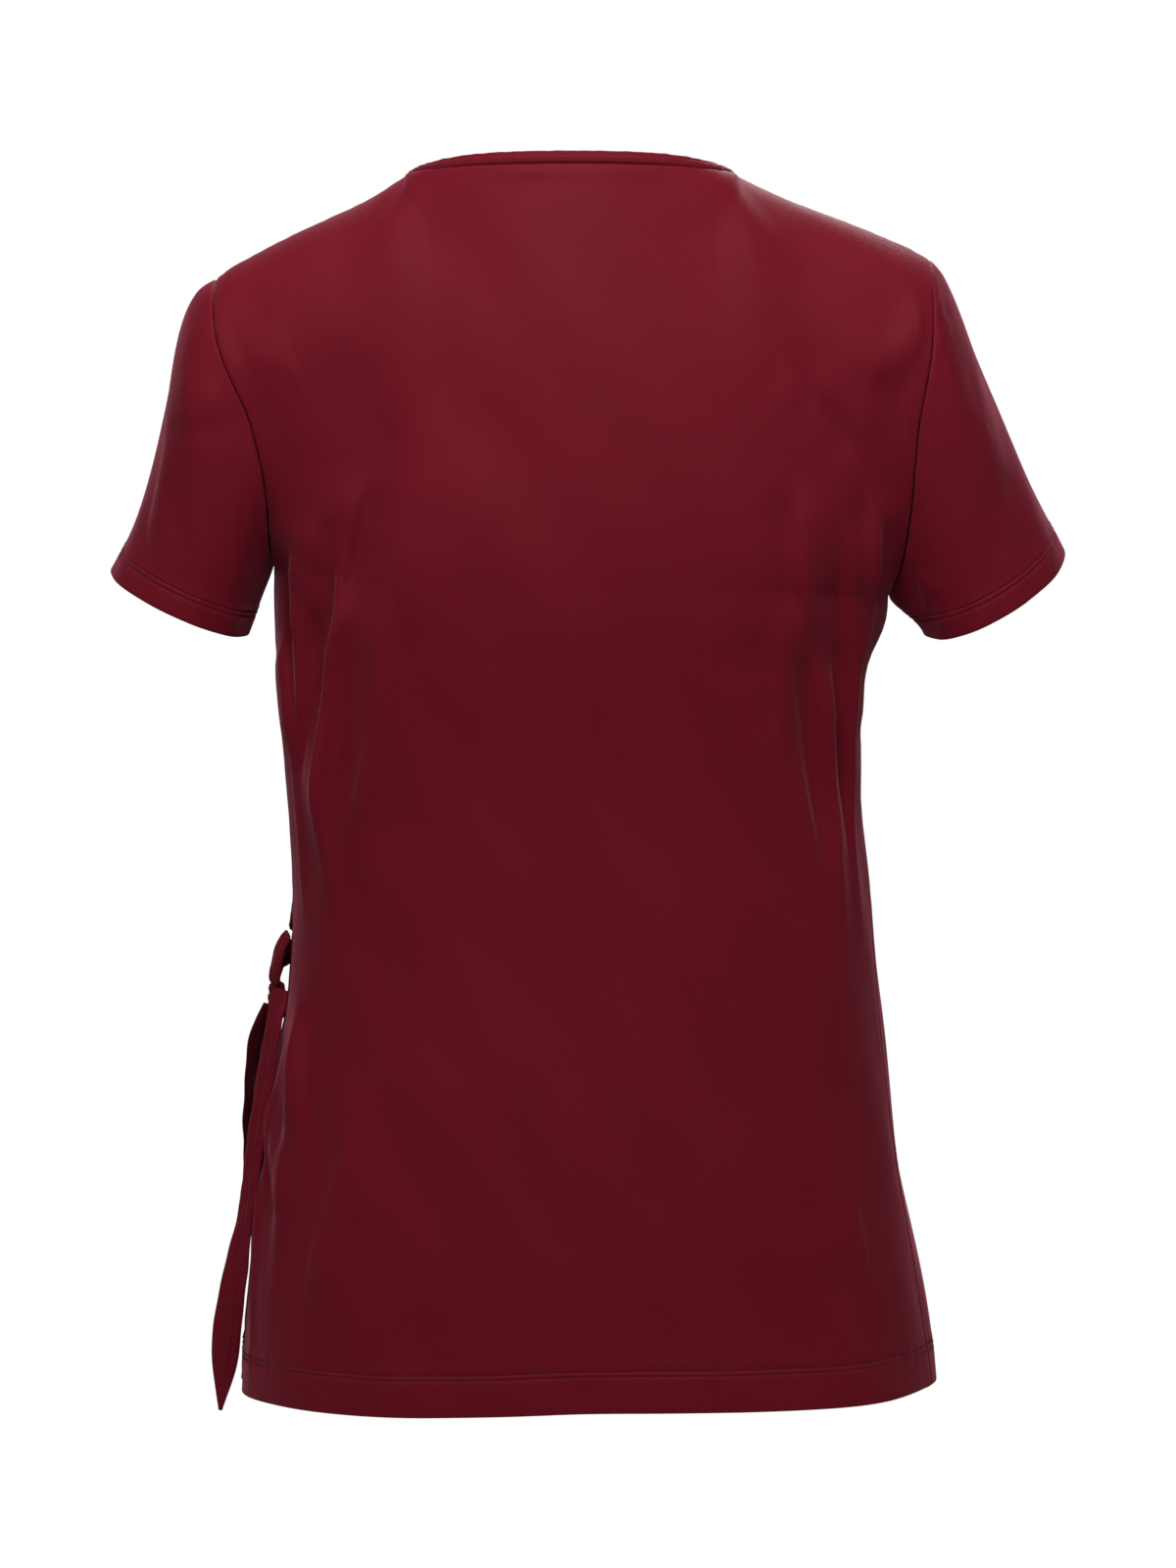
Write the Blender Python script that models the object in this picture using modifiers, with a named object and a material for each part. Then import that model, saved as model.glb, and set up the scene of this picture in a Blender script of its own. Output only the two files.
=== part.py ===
"""Short-sleeved wrap top in fine jersey, in its worn, hollow form.

Frame: metres, +Z up, origin midway between the two neck side points, where the
shoulders carry the top.  -Y is the front of the garment, +X the wearer's left.
"""
import bpy
import numpy as np

# ---- driving sizes (metres, degrees) ---------------------------------------
WALL = 0.0013            # thickness of the jersey
SEAM = 0.0003            # gap left at every seam
SLEEVE_GAP = 0.0008      # gap at the armhole seams, whose two walls meet at an angle
BINDING_GAP = 0.0008     # gap at the neck seam, which bends inward
PANEL_SHIFT = 0.00025    # how far back and fronts stand away from the side plane
WRAP_STEP = 0.0032       # how far the over front lies outside the under front
NECK_HALF = 0.0905       # centre of the neck to a neck side point
NECK_DEPTH = 0.060       # how far back the neck seam reaches
NECK_RISE = 0.0046       # height of the back neck seam above the neck side points
BINDING = 0.0070         # width of the neck binding
NECK_SHARE = 0.50        # share of a panel's half width that the neck takes on its top row
ARMHOLE_REACH = 0.055    # armhole from the side plane to its back or front edge
HEM_MID = -0.6525        # height of the hem at the centre back
TIE_HEIGHT = -0.4150     # height at which the over front is tied
V_BOW = 0.10             # how far the wrap edge bows away from a straight line
TIE_WALL = 0.0016        # thickness of a tie, two layers pressed together
CUFF_DEPTH = 0.0510      # half the cuff's opening from front to back
ELLIPSE = 0.87           # exponent that squares the ellipse of the body a little
YOKE_EASE = 0.018        # how much flatter the panels lie towards the armholes
CORNER_EASE = 0.22       # how far each neck side corner is eased over the cloth below it, and how near to it
CORNER_REACH = 0.24

# the body's half rings: height, left and right side, depth of back and front,
# and how many degrees each side seam sits behind the side plane
BODY = {
    "z":          (-0.660, -0.632, -0.583, -0.540, -0.498, -0.439, -0.388, -0.327, -0.276, -0.255, -0.229, -0.205),
    "left":       (0.1790, 0.1778, 0.1736, 0.1698, 0.1638, 0.1530, 0.1522, 0.1557, 0.1600, 0.1614, 0.1622, 0.1628),
    "right":      (0.1995, 0.1958, 0.1878, 0.1795, 0.1735, 0.1672, 0.1630, 0.1574, 0.1600, 0.1635, 0.1728, 0.1810),
    "back":       (0.1240, 0.1222, 0.1180, 0.1130, 0.1080, 0.1012, 0.0970, 0.0952, 0.0970, 0.0980, 0.0991, 0.0996),
    "front":      (0.1280, 0.1265, 0.1230, 0.1190, 0.1150, 0.1100, 0.1070, 0.1100, 0.1190, 0.1225, 0.1260, 0.1270),
    "seam_left":  (2.0, 2.0, 2.0, 2.0, 2.0, 1.5, 1.0, 0.5, 0.0, 0.0, 0.0, 0.0),
    "seam_right": (13.0, 13.0, 12.0, 11.0, 10.0, 9.0, 7.0, 4.0, 1.0, 0.5, 0.0, 0.0),
}

# the hem: share of the half width from the wearer's right to left, and height
HEM = {
    "share": (-1.0, -0.57, -0.30, 0.0, 0.20, 0.37, 0.60, 1.0),
    "z":     (-0.6530, -0.6543, -0.6530, -0.6525, -0.6553, -0.6573, -0.6578, -0.6600),
}

# shoulder seams from the neck side point out to the sleeve: distance from the
# centre and height, the wearer's left, then the wearer's right
SHOULDER_LEFT = {
    "x": (0.0905, 0.1083, 0.1321, 0.1562, 0.1766, 0.1885, 0.1935),
    "z": (0.0000, -0.0112, -0.0228, -0.0340, -0.0450, -0.0520, -0.0560),
}
SHOULDER_RIGHT = {
    "x": (0.0905, 0.1033, 0.1169, 0.1340, 0.1509, 0.1715, 0.1851, 0.1950),
    "z": (0.0000, -0.0062, -0.0124, -0.0191, -0.0254, -0.0338, -0.0398, -0.0455),
}

# armhole seams seen from behind: height and distance from the centre
ARMHOLE_LEFT = {
    "z": (-0.2130, -0.1996, -0.1790, -0.1616, -0.1439, -0.1247, -0.1070, -0.0892, -0.0728, -0.0550),
    "x": (0.1622, 0.1629, 0.1636, 0.1656, 0.1696, 0.1738, 0.1790, 0.1846, 0.1888, 0.1935),
}
ARMHOLE_RIGHT = {
    "z": (-0.2290, -0.2130, -0.1926, -0.1580, -0.1268, -0.1120, -0.0923, -0.0700, -0.0580, -0.0460),
    "x": (0.1728, 0.1780, 0.1815, 0.1846, 0.1873, 0.1894, 0.1925, 0.1944, 0.1946, 0.1950),
}

# sleeve cuffs: outer and inner end of the opening, how much lower its back edge
# hangs, and how far the cap stands out from the shoulder before it falls
CUFFS = {
    "side":    ("left", "right"),
    "outer_x": (0.2508, 0.2688),
    "outer_z": (-0.2145, -0.2045),
    "inner_x": (0.1760, 0.1920),
    "inner_z": (-0.2490, -0.2475),
    "dip":     (0.0060, 0.0130),
    "cap":     (0.0900, 0.0300),
    "flare":   (0.48, 0.46),
}

# largest folds: where each starts and ends (degrees round from the centre back
# towards the wearer's left, and height), half width and height of the ridge
FOLDS = {
    "turn_start": (66.0, 60.0, 72.0, 50.0, -58.0, -66.0, -50.0, 70.0, 66.0, 80.0, 150.0, -140.0, 120.0),
    "z_start":    (-0.225, -0.255, -0.300, -0.420, -0.260, -0.240, -0.320, -0.450, -0.440, -0.490, -0.400,
                   -0.300, -0.420),
    "turn_end":   (62.0, 55.0, 70.0, 38.0, -60.0, -70.0, -54.0, 52.0, 64.0, 76.0, 190.0, -150.0, 126.0),
    "z_end":      (-0.330, -0.400, -0.400, -0.560, -0.420, -0.400, -0.420, -0.560, -0.600, -0.640, -0.330,
                   -0.460, -0.620),
    "half_width": (0.0080, 0.0110, 0.0060, 0.0160, 0.0080, 0.0070, 0.0070, 0.0080, 0.0080, 0.0060, 0.0120,
                   0.0120, 0.0100),
    "height":     (0.0022, 0.0030, 0.0014, 0.0014, 0.0024, 0.0022, 0.0014, 0.0022, 0.0026, 0.0022, 0.0024,
                   0.0024, 0.0026),
}

# grids of the pieces: rows up and down, columns across
BACK_ROWS = 14
BACK_COLUMNS = 24
ROWS_BELOW_TIE = 6
ROWS_TO_UNDERARM = 8
ROWS_TO_TOP = 12
FRONT_COLUMNS = 18
SLEEVE_ROWS = 7
SLEEVE_COLUMNS = 24
BINDING_COLUMNS = 2


def column(table, name):
    return np.array(table[name], dtype=float)


def read_table(table, key, name, where):
    """Value of one column at the given places, in a smooth curve through the rows."""
    places = column(table, key)
    values = column(table, name)
    order = np.argsort(places)
    places, values = places[order], values[order]
    slopes = np.gradient(values, places)
    where = np.clip(where, places[0], places[-1])
    low = np.clip(np.searchsorted(places, where) - 1, 0, len(places) - 2)
    run = places[low + 1] - places[low]
    part = (where - places[low]) / run
    return ((2 * part**3 - 3 * part**2 + 1) * values[low] + (part**3 - 2 * part**2 + part) * run * slopes[low]
            + (3 * part**2 - 2 * part**3) * values[low + 1] + (part**3 - part**2) * run * slopes[low + 1])


def smooth(low, high, value):
    part = np.clip((value - low) / (high - low), 0.0, 1.0)
    return part * part * (3.0 - 2.0 * part)


def power(value, exponent):
    return np.sign(value) * np.abs(value) ** exponent


# ---- the body's surface ----------------------------------------------------
def fold_ridges(turn, height, girth):
    """Height of the folds at each point: a soft ridge along each row's line."""
    total = np.zeros(np.broadcast(turn, height).shape)
    for row in zip(*(FOLDS[name] for name in FOLDS)):
        turn_start, z_start, turn_end, z_end, half_width, ridge = row
        along = (height - z_start) / (z_end - z_start)
        middle = turn_start + (turn_end - turn_start) * along
        across = np.radians((turn - middle + 180.0) % 360.0 - 180.0) * girth
        ends = smooth(-0.15, 0.25, along) * (1.0 - smooth(0.70, 1.15, along))
        total = total + ridge * ends * np.exp(-(across / half_width) ** 2)
    return total


def lower_body(turn, height, offset):
    """Point of the body below the armholes: a squared ellipse at each height.

    turn is in degrees, 0 at the centre back and 90 at the wearer's left side.
    """
    left = read_table(BODY, "z", "left", height)
    right = read_table(BODY, "z", "right", height)
    angle = np.radians(turn)
    depth = np.where(np.cos(angle) >= 0, read_table(BODY, "z", "back", height),
                     read_table(BODY, "z", "front", height))
    swell = offset + fold_ridges(turn, height, 0.14)
    x = (left - right) / 2 + ((left + right) / 2 + swell) * power(np.sin(angle), ELLIPSE)
    y = (depth + swell) * power(np.cos(angle), ELLIPSE)
    return x, y


def top_line(share, facing):
    """Top row of a panel: shoulder seam, neck line, shoulder seam."""
    size = np.abs(share)
    out = np.clip((size - NECK_SHARE) / (1.0 - NECK_SHARE), 0.0, 1.0)
    neck = np.clip(size / NECK_SHARE, 0.0, 1.0)
    reach_left, reach_right = SHOULDER_LEFT["x"][-1], SHOULDER_RIGHT["x"][-1]
    reach = np.where(share >= 0, reach_left, reach_right)
    distance = np.where(size < NECK_SHARE, NECK_HALF * np.sin(neck * np.pi / 2),
                        NECK_HALF + (reach - NECK_HALF) * out)
    seam = np.where(share >= 0, read_table(SHOULDER_LEFT, "x", "z", distance),
                    read_table(SHOULDER_RIGHT, "x", "z", distance))
    dip = np.cos(neck * np.pi / 2)
    y = facing * NECK_DEPTH * dip
    rise = NECK_RISE * dip**0.8 if facing > 0 else -0.030 * dip
    return np.sign(share) * distance, y, np.where(size < NECK_SHARE, rise, seam)


def upper_body(share, level, facing, offset):
    """Point between the armholes: share -1 (right) to 1 (left), level 0 (underarm) to 1 (top).

    Each row is an arc between the two armholes, bulging to the back or front; the
    rows turn over the shoulders and end on the shoulder seams and the neck line.
    """
    corner = np.exp(-((np.abs(share) - NECK_SHARE) / CORNER_REACH) ** 2)
    blur = np.minimum(CORNER_EASE * corner * smooth(0.0, 0.16, 1.0 - level), 1.0 - np.abs(share))
    lines = [top_line(share + blur * step, facing) for step in np.linspace(-1.0, 1.0, 7)]
    top_x, top_y, top_z = (sum(values) / len(lines) for values in zip(*lines))
    side = (share + 1) / 2
    under_z = ARMHOLE_RIGHT["z"][0] + (ARMHOLE_LEFT["z"][0] - ARMHOLE_RIGHT["z"][0]) * side
    height = under_z + (top_z - under_z) * level
    left_z = ARMHOLE_LEFT["z"][0] + (SHOULDER_LEFT["z"][-1] - ARMHOLE_LEFT["z"][0]) * level
    right_z = ARMHOLE_RIGHT["z"][0] + (SHOULDER_RIGHT["z"][-1] - ARMHOLE_RIGHT["z"][0]) * level
    left = read_table(ARMHOLE_LEFT, "z", "x", left_z)
    right = read_table(ARMHOLE_RIGHT, "z", "x", right_z)
    deep = read_table(BODY, "z", "back" if facing > 0 else "front", height)
    deep = deep - YOKE_EASE * np.abs(share) * smooth(0.0, 0.5, level)
    shape = ELLIPSE + (1.0 - ELLIPSE) * smooth(0.0, 0.35, level)
    widest = ARMHOLE_REACH * np.sqrt(1.0 - (2.0 * np.minimum(level, 0.5) - 1.0) ** 2)
    spread = np.arccos(np.clip(widest / deep, 0.0, 0.9) ** (1.0 / shape))
    to_top = smooth(0.45, 1.0, level)
    arc_x = power(np.sin(share * spread) / np.sin(spread), shape)
    end_bow = np.cos(spread) ** shape
    bow = np.clip((np.clip(np.cos(share * spread), 0.0, 1.0) ** shape - end_bow) / (1.0 - end_bow), 0.0, 1.0)
    bow = bow + (1.0 - bow) * to_top
    x = (left - right) / 2 + (left + right) / 2 * arc_x
    x = x + (top_x - x) * to_top
    roll = 1.0 - 0.5 * smooth(0.15, NECK_SHARE, np.abs(share))
    column_y = facing * top_y + (deep - facing * top_y) * np.clip(1.0 - level**2.2, 0.0, 1.0) ** roll
    armhole = ARMHOLE_REACH * np.sqrt(np.clip(1.0 - (2.0 * level - 1.0) ** 2, 0.0, 1.0))
    y = armhole + (column_y - armhole) * bow
    lift = smooth(0.0, 0.3, y / np.maximum(deep, 0.01))
    y = facing * (y + offset * lift)
    z = height + offset * (1.0 - lift) * to_top
    return x, y, z


def body_point(share, level, facing, offset=0.0):
    """Point of a panel: level -1 at the hem, 0 at the underarm, 1 at the top row."""
    share, level, offset = np.broadcast_arrays(share, level, offset)
    side = (share + 1) / 2
    under_z = ARMHOLE_RIGHT["z"][0] + (ARMHOLE_LEFT["z"][0] - ARMHOLE_RIGHT["z"][0]) * side
    hem_z = read_table(HEM, "share", "z", share)
    height = under_z + (hem_z - under_z) * np.clip(-level, 0.0, 1.0)
    seam_left = read_table(BODY, "z", "seam_left", height)
    seam_right = read_table(BODY, "z", "seam_right", height)
    if facing > 0:
        turn = np.where(share >= 0, share * (90.0 - seam_left), share * (90.0 - seam_right))
    else:
        turn = 180.0 - np.where(share >= 0, share * (90.0 + seam_left), share * (90.0 + seam_right))
    x_low, y_low = lower_body(turn, height, offset)
    x_top, y_top, z_top = upper_body(share, np.clip(level, 0.0, 1.0), facing, offset)
    low = level < 0
    ease = smooth(0.0, 0.10, -level)
    under_x, under_y, _ = upper_body(share, np.zeros_like(level), facing, offset)
    x_low = under_x + (x_low - under_x) * ease
    y_low = under_y + (y_low - under_y) * ease
    return np.stack([np.where(low, x_low, x_top), np.where(low, y_low, y_top),
                     np.where(low, height, z_top)], axis=-1)


# ---- making an object from a grid of points ---------------------------------
def make_cloth(name, grid, colour, wall=WALL, closed=False):
    """A wall of cloth: the grid is its outer face, and Solidify gives the thickness."""
    rows, columns = grid.shape[:2]
    across = columns if closed else columns - 1
    faces = [(row * columns + step, row * columns + (step + 1) % columns,
              (row + 1) * columns + (step + 1) % columns, (row + 1) * columns + step)
             for row in range(rows - 1) for step in range(across)]
    mesh = bpy.data.meshes.new(name)
    mesh.from_pydata(grid.reshape(-1, 3).tolist(), [], faces)
    mesh.shade_smooth()
    mesh.materials.append(cloth_material(name, colour))
    thing = bpy.data.objects.new(name, mesh)
    garment.objects.link(thing)
    thick = thing.modifiers.new("wall", "SOLIDIFY")
    thick.thickness = wall
    thick.offset = -1.0
    thick.use_even_offset = True
    return thing


def cloth_material(name, colour):
    material = bpy.data.materials.new(name + "_cloth")
    material.use_nodes = True
    shader = material.node_tree.nodes["Principled BSDF"]
    shader.inputs["Base Color"].default_value = (*colour, 1.0)
    shader.inputs["Roughness"].default_value = 0.8
    shader.inputs["Metallic"].default_value = 0.0
    return material


for thing in list(bpy.data.objects):
    bpy.data.objects.remove(thing, do_unlink=True)
garment = bpy.data.collections.new("wrap_top")
bpy.context.scene.collection.children.link(garment)

WINE = (0.115, 0.010, 0.018)
DEEP_WINE = (0.085, 0.007, 0.013)

# ---- back and fronts --------------------------------------------------------
UNDERARM_MID = (ARMHOLE_LEFT["z"][0] + ARMHOLE_RIGHT["z"][0]) / 2
TIE_LEVEL = -(UNDERARM_MID - TIE_HEIGHT) / (UNDERARM_MID - HEM_MID)
TIE_SHARE = 0.90         # where the over front's free edge lies, as a share of the half front


def upper_levels(steps):
    """Levels from the underarm to the top, closer together at both ends."""
    return (1.0 - np.cos(np.pi * np.arange(steps + 1) / steps)) / 2


def wrap_share(level):
    """Share at which the over front's neck seam lies at each level."""
    height = np.where(level > 0, UNDERARM_MID * (1.0 - level), UNDERARM_MID + (UNDERARM_MID - HEM_MID) * level)
    part = np.clip((height - TIE_HEIGHT) / (0.0 - TIE_HEIGHT), 0.0, 1.0)
    return TIE_SHARE - (TIE_SHARE + NECK_SHARE) * (part + V_BOW * np.sin(np.pi * part))


def over_offset(share):
    """The over front lies on the seams at its own side and outside the other front."""
    return WRAP_STEP * smooth(-0.7, 0.5, share)


def panel_point(share, level, facing, offset=0.0):
    point = body_point(share, level, facing, offset)
    point[..., 1] += facing * PANEL_SHIFT
    return point


def back_grid():
    levels = np.concatenate([np.linspace(-1.0, 0.0, BACK_ROWS + 1)[:-1], upper_levels(ROWS_TO_TOP)])
    share, level = np.meshgrid(np.linspace(-1.0, 1.0, BACK_COLUMNS + 1), levels)
    return panel_point(share, level, 1.0)


def front_levels():
    """Levels of a front's rows, one of them at the height of the tie."""
    return np.concatenate([np.linspace(-1.0, TIE_LEVEL, ROWS_BELOW_TIE + 1)[:-1],
                           np.linspace(TIE_LEVEL, 0.0, ROWS_TO_UNDERARM + 1)[:-1], upper_levels(ROWS_TO_TOP)])


def front_grid(over):
    step, level = np.meshgrid(np.linspace(0.0, 1.0, FRONT_COLUMNS + 1), front_levels())
    share = -1.0 + (wrap_share(level) + 1.0) * step
    if over:
        return panel_point(share, level, -1.0, over_offset(share))
    return panel_point(-share, level, -1.0, over_offset(-share) - WRAP_STEP)


def outward(grid, facing):
    """Order the columns so that the faces look out of the garment."""
    return grid[:, ::-1] if facing > 0 else grid


# ---- sleeves ---------------------------------------------------------------
def sleeve_grid(side):
    """Loft from the armhole seam to the open cuff, round from the shoulder by way of the back."""
    sign = 1.0 if side == "left" else -1.0
    cuff = {name: CUFFS[name][CUFFS["side"].index(side)] for name in CUFFS}
    angle = 2 * np.pi * np.arange(SLEEVE_COLUMNS) / SLEEVE_COLUMNS
    level = (1.0 + np.cos(angle)) / 2
    behind = panel_point(sign, level, 1.0)
    before = panel_point(sign, level, -1.0)
    half = np.where(np.sin(angle) > 1e-9, 1.0, np.where(np.sin(angle) < -1e-9, 0.0, 0.5))[:, None]
    start = before + (behind - before) * half
    outer = np.array([sign * cuff["outer_x"], 0.0, cuff["outer_z"]])
    inner = np.array([sign * cuff["inner_x"], 0.0, cuff["inner_z"]])
    back_edge = np.array([0.0, CUFF_DEPTH, -cuff["dip"]])
    end = (outer + inner) / 2 + np.outer(np.cos(angle), (outer - inner) / 2) + np.outer(np.sin(angle), back_edge)
    crown = ((1.0 + np.cos(angle)) / 2)[:, None] ** 1.5
    under = ((1.0 - np.cos(angle)) / 2)[:, None] ** 1.5
    flank = 1.0 - crown - under
    length = np.linalg.norm(end - start, axis=1)[:, None]
    tilt = 0.36 + (cuff["flare"] - 0.36) * crown
    fall = tilt * np.array([sign, 0.0, 0.0]) - np.sqrt(1.0 - tilt**2) * np.array([0.0, 0.0, 1.0])
    over_arm = np.array([sign * 1.0, 0.0, -0.45]) * cuff["cap"]
    sideways = np.array([sign * 0.70, 0.0, -0.65]) + np.outer(np.sin(angle), [0.0, 0.30, 0.0])
    leave = over_arm * crown + sideways * 0.8 * length * flank + fall * length * under
    arrive = fall * length * (1.05 + 0.35 * crown)
    round_seam = np.roll(start, -1, axis=0) - np.roll(start, 1, axis=0)
    round_seam = round_seam / np.linalg.norm(round_seam, axis=1)[:, None]
    clear = np.array([sign, 0.0, 0.0]) - round_seam * sign * round_seam[:, :1]
    start = start + clear / np.linalg.norm(clear, axis=1)[:, None] * SLEEVE_GAP
    part = np.linspace(0.0, 1.0, SLEEVE_ROWS + 1)[:, None, None] ** 1.15
    return ((2 * part**3 - 3 * part**2 + 1) * start + (part**3 - 2 * part**2 + part) * leave
            + (3 * part**2 - 2 * part**3) * end + (part**3 - part**2) * arrive)


# ---- neck binding ----------------------------------------------------------
def edge_with_normal(share, level, facing, offset):
    """Points of a panel's edge and the direction out of the cloth there."""
    here = panel_point(share, level, facing, offset)
    step = 0.002
    beside = panel_point(share + step * np.sign(-share + 1e-6), level, facing, offset)
    below = panel_point(share, level - step, facing, offset)
    normal = np.cross(beside - here, below - here)
    normal = normal / np.linalg.norm(normal, axis=-1, keepdims=True)
    centre = np.array([0.0, 0.0, -0.25])
    return here, normal * np.sign(np.sum(normal * (here - centre), axis=-1, keepdims=True))


def binding_grid():
    """One strip: up the over front's edge, round the back of the neck, down the under front's."""
    rise = front_levels()[ROWS_BELOW_TIE:-1]
    wrap = wrap_share(rise)
    over = edge_with_normal(wrap, rise, -1.0, over_offset(wrap))
    neck = np.linspace(-NECK_SHARE, NECK_SHARE, int(NECK_SHARE * BACK_COLUMNS) + 1)
    back = edge_with_normal(neck, np.ones_like(neck), 1.0, 0.0)
    under = edge_with_normal(-wrap[::-1], rise[::-1], -1.0, over_offset(-wrap[::-1]) - WRAP_STEP)
    seam = np.concatenate([over[0], back[0], under[0]])
    normal = np.concatenate([over[1], back[1], under[1]])
    along = np.gradient(seam, axis=0)
    inward = np.cross(along, normal)
    inward = inward / np.linalg.norm(inward, axis=1, keepdims=True)
    to_side = np.hypot(np.abs(seam[:, 0]) - NECK_HALF, seam[:, 1])[:, None]
    flat = np.sign(-seam[:, :1]) * np.array([1.0, 0.0, 0.0]) + np.array([0.0, 0.0, 0.2])
    inward = inward + (flat - inward) * np.exp(-(to_side / 0.014) ** 2)
    for _ in range(3):
        inward[1:-1] = (inward[:-2] + 2 * inward[1:-1] + inward[2:]) / 4
        normal[1:-1] = (normal[:-2] + 2 * normal[1:-1] + normal[2:]) / 4
    inward = inward / np.linalg.norm(inward, axis=1, keepdims=True)
    reach = np.linspace(BINDING_GAP, BINDING, BINDING_COLUMNS + 1)[None, :, None]
    return seam[:, None] + inward[:, None] * reach + normal[:, None] * SEAM


# ---- ties ------------------------------------------------------------------
# each row: middle of the tie, which way its width points (degrees from +X towards
# +Y, and degrees up), and how wide it is on either side of the middle
TIE_LOOP = {
    "x":    (0.1552, 0.1576, 0.1598, 0.1615, 0.1629, 0.1637, 0.1637),
    "y":    (0.0090, 0.0092, 0.0092, 0.0084, 0.0066, 0.0038, 0.0006),
    "z":    (-0.4120, -0.4160, -0.4210, -0.4270, -0.4330, -0.4380, -0.4412),
    "turn": (-80.0, -77.0, -74.0, -72.0, -69.0, -67.0, -70.0),
    "lift": (0.0, 0.0, 0.0, 0.0, 0.0, 0.0, 0.0),
    "wide": (0.0066, 0.0078, 0.0080, 0.0080, 0.0078, 0.0060, 0.0040),
}
TIE_STRAP = {
    "x":    (0.1564, 0.1576, 0.1590, 0.1604),
    "y":    (-0.0225, -0.0185, -0.0135, -0.0085),
    "z":    (-0.4250, -0.4262, -0.4290, -0.4360),
    "turn": (0.0, 0.0, 0.0, 0.0),
    "lift": (90.0, 90.0, 90.0, 90.0),
    "wide": (0.0078, 0.0078, 0.0072, 0.0056),
}
TAIL_NEAR = {
    "x":    (0.1578, 0.1598, 0.1622, 0.1642, 0.1680, 0.1722, 0.1754, 0.1795, 0.1845, 0.1878, 0.1888, 0.1903),
    "y":    (0.0104, 0.0120, 0.0130, 0.0145, 0.0165, 0.0190, 0.0215, 0.0240, 0.0250, 0.0240, 0.0220, 0.0200),
    "z":    (-0.4425, -0.4490, -0.4566, -0.4680, -0.4920, -0.5190, -0.5457, -0.5725, -0.5990, -0.6260, -0.6460,
             -0.6700),
    "turn": (-10.0, -25.0, -45.0, -54.0, -56.0, -55.0, -58.0, -54.0, -30.0, -14.0, -10.0, -5.0),
    "lift": (0.0, 0.0, 0.0, 0.0, 0.0, 0.0, 0.0, 0.0, 0.0, 0.0, 0.0, 0.0),
    "wide": (0.0040, 0.0052, 0.0062, 0.0074, 0.0080, 0.0080, 0.0080, 0.0080, 0.0080, 0.0080, 0.0068, 0.0010),
}
TAIL_FAR = {
    "x":    (0.1655, 0.1694, 0.1733, 0.1754, 0.1759, 0.1777, 0.1810, 0.1850, 0.1870),
    "y":    (-0.0060, -0.0100, -0.0140, -0.0180, -0.0240, -0.0300, -0.0330, -0.0340, -0.0340),
    "z":    (-0.4566, -0.4680, -0.4880, -0.5130, -0.5320, -0.5560, -0.5820, -0.6080, -0.6300),
    "turn": (62.0, 66.0, 74.0, 78.0, 78.0, 78.0, 76.0, 74.0, 72.0),
    "lift": (0.0, 0.0, 0.0, 0.0, 0.0, 0.0, 0.0, 0.0, 0.0),
    "wide": (0.0060, 0.0076, 0.0080, 0.0080, 0.0080, 0.0080, 0.0080, 0.0072, 0.0010),
}
KNOT_MIDDLE = (0.1606, 0.0000, -0.4496)
KNOT_RADII = (0.0047, 0.0078, 0.0066)


def tie_grid(table, steps, across):
    """A flat tie along its rows, read in a smooth curve by the row's number."""
    rows = dict(table, row=tuple(range(len(table["x"]))))
    place = np.linspace(0.0, len(table["x"]) - 1, steps + 1)
    middle = np.stack([read_table(rows, "row", name, place) for name in ("x", "y", "z")], axis=-1)
    turn = np.radians(read_table(rows, "row", "turn", place))
    wide = read_table(rows, "row", "wide", place)
    lift = np.radians(read_table(rows, "row", "lift", place))
    side = np.stack([np.cos(turn) * np.cos(lift), np.sin(turn) * np.cos(lift), np.sin(lift)], axis=-1)
    along = np.gradient(middle, axis=0)
    along = along / np.linalg.norm(along, axis=1, keepdims=True)
    side = side - along * np.sum(side * along, axis=1, keepdims=True)
    side = side / np.linalg.norm(side, axis=1, keepdims=True)
    reach = np.linspace(-1.0, 1.0, across + 1)
    return middle[:, None] + side[:, None] * (wide[:, None] * reach)[..., None]


def make_knot(name, colour):
    """The knot, a firm rounded lump of the two ties drawn tight."""
    bpy.ops.mesh.primitive_uv_sphere_add(segments=16, ring_count=10, radius=1.0, location=KNOT_MIDDLE)
    knot = bpy.context.object
    knot.name = name
    knot.scale = KNOT_RADII
    bpy.ops.object.transform_apply(location=False, rotation=False, scale=True)
    knot.data.materials.append(cloth_material(name, colour))
    knot.data.shade_smooth()
    for holder in list(knot.users_collection):
        holder.objects.unlink(knot)
    garment.objects.link(knot)
    return knot


make_cloth("back", outward(back_grid(), 1.0), WINE)
make_cloth("front_over", outward(front_grid(True), -1.0), WINE)
make_cloth("front_under", outward(front_grid(False)[:, ::-1], -1.0), DEEP_WINE)
make_cloth("sleeve_left", sleeve_grid("left")[:, ::-1], WINE, closed=True)
make_cloth("sleeve_right", sleeve_grid("right"), WINE, closed=True)
make_cloth("neck_binding", binding_grid(), WINE)
make_cloth("tie_loop", tie_grid(TIE_LOOP, 10, 2), WINE, wall=TIE_WALL)
make_cloth("tie_strap", tie_grid(TIE_STRAP, 6, 2), DEEP_WINE, wall=TIE_WALL)
make_cloth("tie_tail_near", tie_grid(TAIL_NEAR, 20, 2), WINE, wall=TIE_WALL)
make_cloth("tie_tail_far", tie_grid(TAIL_FAR, 18, 2), DEEP_WINE, wall=TIE_WALL)
make_knot("tie_knot", WINE)
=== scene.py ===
"""Short-sleeved wrap top in fine wine-coloured jersey, kept in its worn, hollow form.

Metres, +Z up.  The garment's front looks towards -Y and the wearer's left is +X.
"""

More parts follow.
